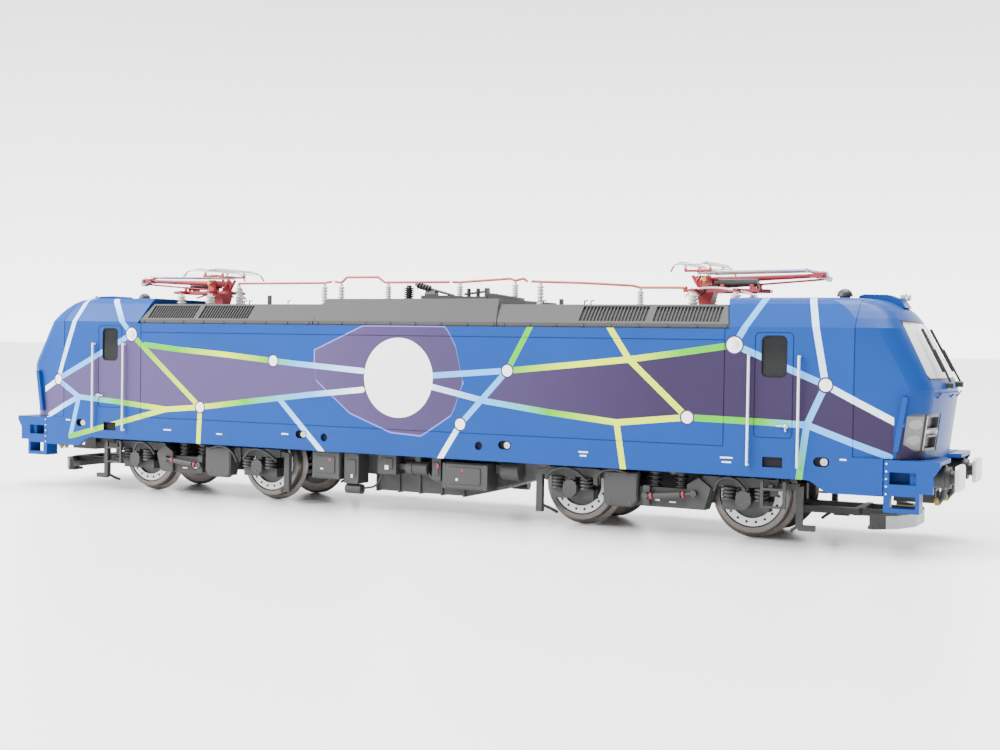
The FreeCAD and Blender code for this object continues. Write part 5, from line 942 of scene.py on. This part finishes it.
def bogie_details(end, sign):
    """Hoses, bolts and small plain marks on a bogie's side frames."""
    def world(local, y, z, side):
        """A point on the bogie, given from its pivot, in the row frame."""
        return (sign * (PIVOT_X + local), side * sign * y, z)

    runs = (
        ((-22.4, 14.9, 9.2), (-20.6, 16.0, 11.0), (-16.8, 16.0, 11.6), (-13.6, 15.2, 9.4)),
        ((-11.6, 14.9, 8.6), (-11.0, 15.9, 10.8), (-8.0, 16.0, 11.9), (-4.8, 15.4, 11.2)),
        ((11.6, 14.9, 9.0), (13.0, 15.9, 11.2), (15.4, 16.0, 11.6), (17.6, 15.2, 9.6)),
    )
    lines = [[world(*p, side) for p in run] for side in BOTH for run in runs]
    hose("bogie_hoses_" + end, lines, 0.3, BLACK, "bogie_" + end)

    def bolts(bm):
        for side in BOTH:
            out = (0, side * sign, 0)
            for local, y, z in ((-9.3, 15.4, 10.8), (-4.2, 15.4, 10.8), (-9.0, 15.4, 5.9), (-4.6, 15.4, 5.9)):
                stud(bm, world(local, y, z, side), out, 0.2, 0.14)
            for axle in (-WHEELBASE_HALF, WHEELBASE_HALF):
                for i in range(6):
                    a = math.pi * (i + 0.5) / 3
                    local, z = axle + 1.35 * math.cos(a), AXLE_Z + 1.35 * math.sin(a)
                    stud(bm, world(local, 15.3, z, side), out, 0.16, 0.14)
    piece("bogie_bolts_" + end, bolts, BOLT, "bogie_" + end)

    def marks(bm):
        for side in BOTH:
            for local, z, w, h in ((0.4, 6.5, 0.9, 0.3), (3.4, 6.3, 1.3, 0.26)):
                tile(bm, world(local, 14.2, z, side), (side * -sign, 0, 0), (0, 0, 1), (w, h), 0.1, 0.04)
    piece("bogie_marks_" + end, marks, MARK_WHITE, "bogie_" + end)

    def reds(bm):
        band = [(0.0, 0.5), (0.0, 0.64), (0.4, 0.64), (0.4, 0.5)]
        for side in BOTH:
            for local, z in ((5.7, 7.97), (-0.6, 7.32)):
                turned(bm, world(local, 15.5, z, side), (sign, 0, 0.1), band)
    piece("bogie_red_bands_" + end, reds, MARK_RED, "bogie_" + end)


body_details()
roof_details()
end_details()
underfloor_details()
for end_name, end_sign in ENDS:
    bogie_details(end_name, end_sign)


# ---------------------------------------------------------------- floor, lights and camera
def stage_floor():
    """A wide pale floor with a faint mottle."""
    mesh = bpy.data.meshes.new("floor")
    mesh.from_pydata([(-6, -6, 0), (6, -6, 0), (6, 6, 0), (-6, 6, 0)], [], [(0, 1, 2, 3)])
    floor = bpy.data.objects.new("floor", mesh)
    bpy.context.scene.collection.objects.link(floor)
    made, g, shader = new_material("floor_white", 0.0, 0.3)
    tone = g.noise(g.place(), 0.01, 2.0)
    g.feed(shader.inputs["Base Color"], g.mix(tone, (0.90, 0.90, 0.90), (0.93, 0.93, 0.93)))
    mesh.materials.append(made)


def softbox(name, at, towards, size, power):
    """A rectangular lamp aimed at a point."""
    data = bpy.data.lights.new(name, "AREA")
    data.shape = "RECTANGLE"
    data.size, data.size_y = size
    data.energy = power
    light = bpy.data.objects.new(name, data)
    light.location = at
    light.rotation_euler = (Vector(towards) - Vector(at)).to_track_quat("-Z", "Y").to_euler()
    bpy.context.scene.collection.objects.link(light)


def studio():
    """A pale room, bright behind the model and dim to the right, two softboxes and an overhead light."""
    world = bpy.data.worlds.new("studio")
    bpy.context.scene.world = world
    world.use_nodes = True
    g = Graph(world.node_tree)
    x, y, z = g.split(g.vector("NORMALIZE", g.node("ShaderNodeTexCoord").outputs["Generated"]))
    low = g.math("MULTIPLY_ADD", g.math("ABSOLUTE", z), -2.4, 1.0, clamp=True)
    behind = g.math("MULTIPLY_ADD", y, 1.6, -0.1, clamp=True)
    level = g.math("MULTIPLY_ADD", g.math("MULTIPLY", low, behind), BACK_LEVEL - ROOM_LEVEL, ROOM_LEVEL)
    shade = g.math("MULTIPLY_ADD", g.math("MAXIMUM", x, 0.0), -DIM_RIGHT, 1.0)
    level = g.math("MULTIPLY", level, g.math("MAXIMUM", shade, behind))
    back = world.node_tree.nodes["Background"]
    back.inputs["Color"].default_value = (1.0, 1.0, 1.0, 1.0)
    g.feed(back.inputs["Strength"], level)
    softbox("key", (-0.46, -0.36, 0.4), (-0.06, 0, 0.02), (0.5, 0.4), KEY_POWER)
    softbox("fill", (0.3, -1.0, 0.3), (0.0, 0, 0.02), (0.6, 0.5), FILL_POWER)
    data = bpy.data.lights.new("overhead", "SUN")
    data.energy = OVERHEAD_POWER
    data.angle = math.radians(50)
    light = bpy.data.objects.new("overhead", data)
    light.rotation_euler = (math.radians(-14), 0, 0)
    bpy.context.scene.collection.objects.link(light)


def camera():
    """A long lens level with the body, off the front end of the near side."""
    yaw, pitch, roll = (math.radians(a) for a in CAMERA_YAW_PITCH_ROLL)
    ahead = Vector((-math.sin(yaw) * math.cos(pitch), math.cos(yaw) * math.cos(pitch), math.sin(pitch)))
    right = Vector((math.cos(yaw), math.sin(yaw), 0))
    up = right.cross(ahead)
    rolled_right = math.cos(roll) * right + math.sin(roll) * up
    rolled_up = -math.sin(roll) * right + math.cos(roll) * up
    data = bpy.data.cameras.new("camera")
    data.sensor_width = 36.0
    data.lens = CAMERA_LENS
    data.clip_start = 0.01
    data.clip_end = 50.0
    made = bpy.data.objects.new("camera", data)
    frame_axes = Matrix((rolled_right, rolled_up, -ahead)).transposed()
    made.matrix_world = Matrix.Translation(CAMERA_AT) @ frame_axes.to_4x4()
    bpy.context.scene.collection.objects.link(made)
    bpy.context.scene.camera = made


stage_floor()
studio()
camera()
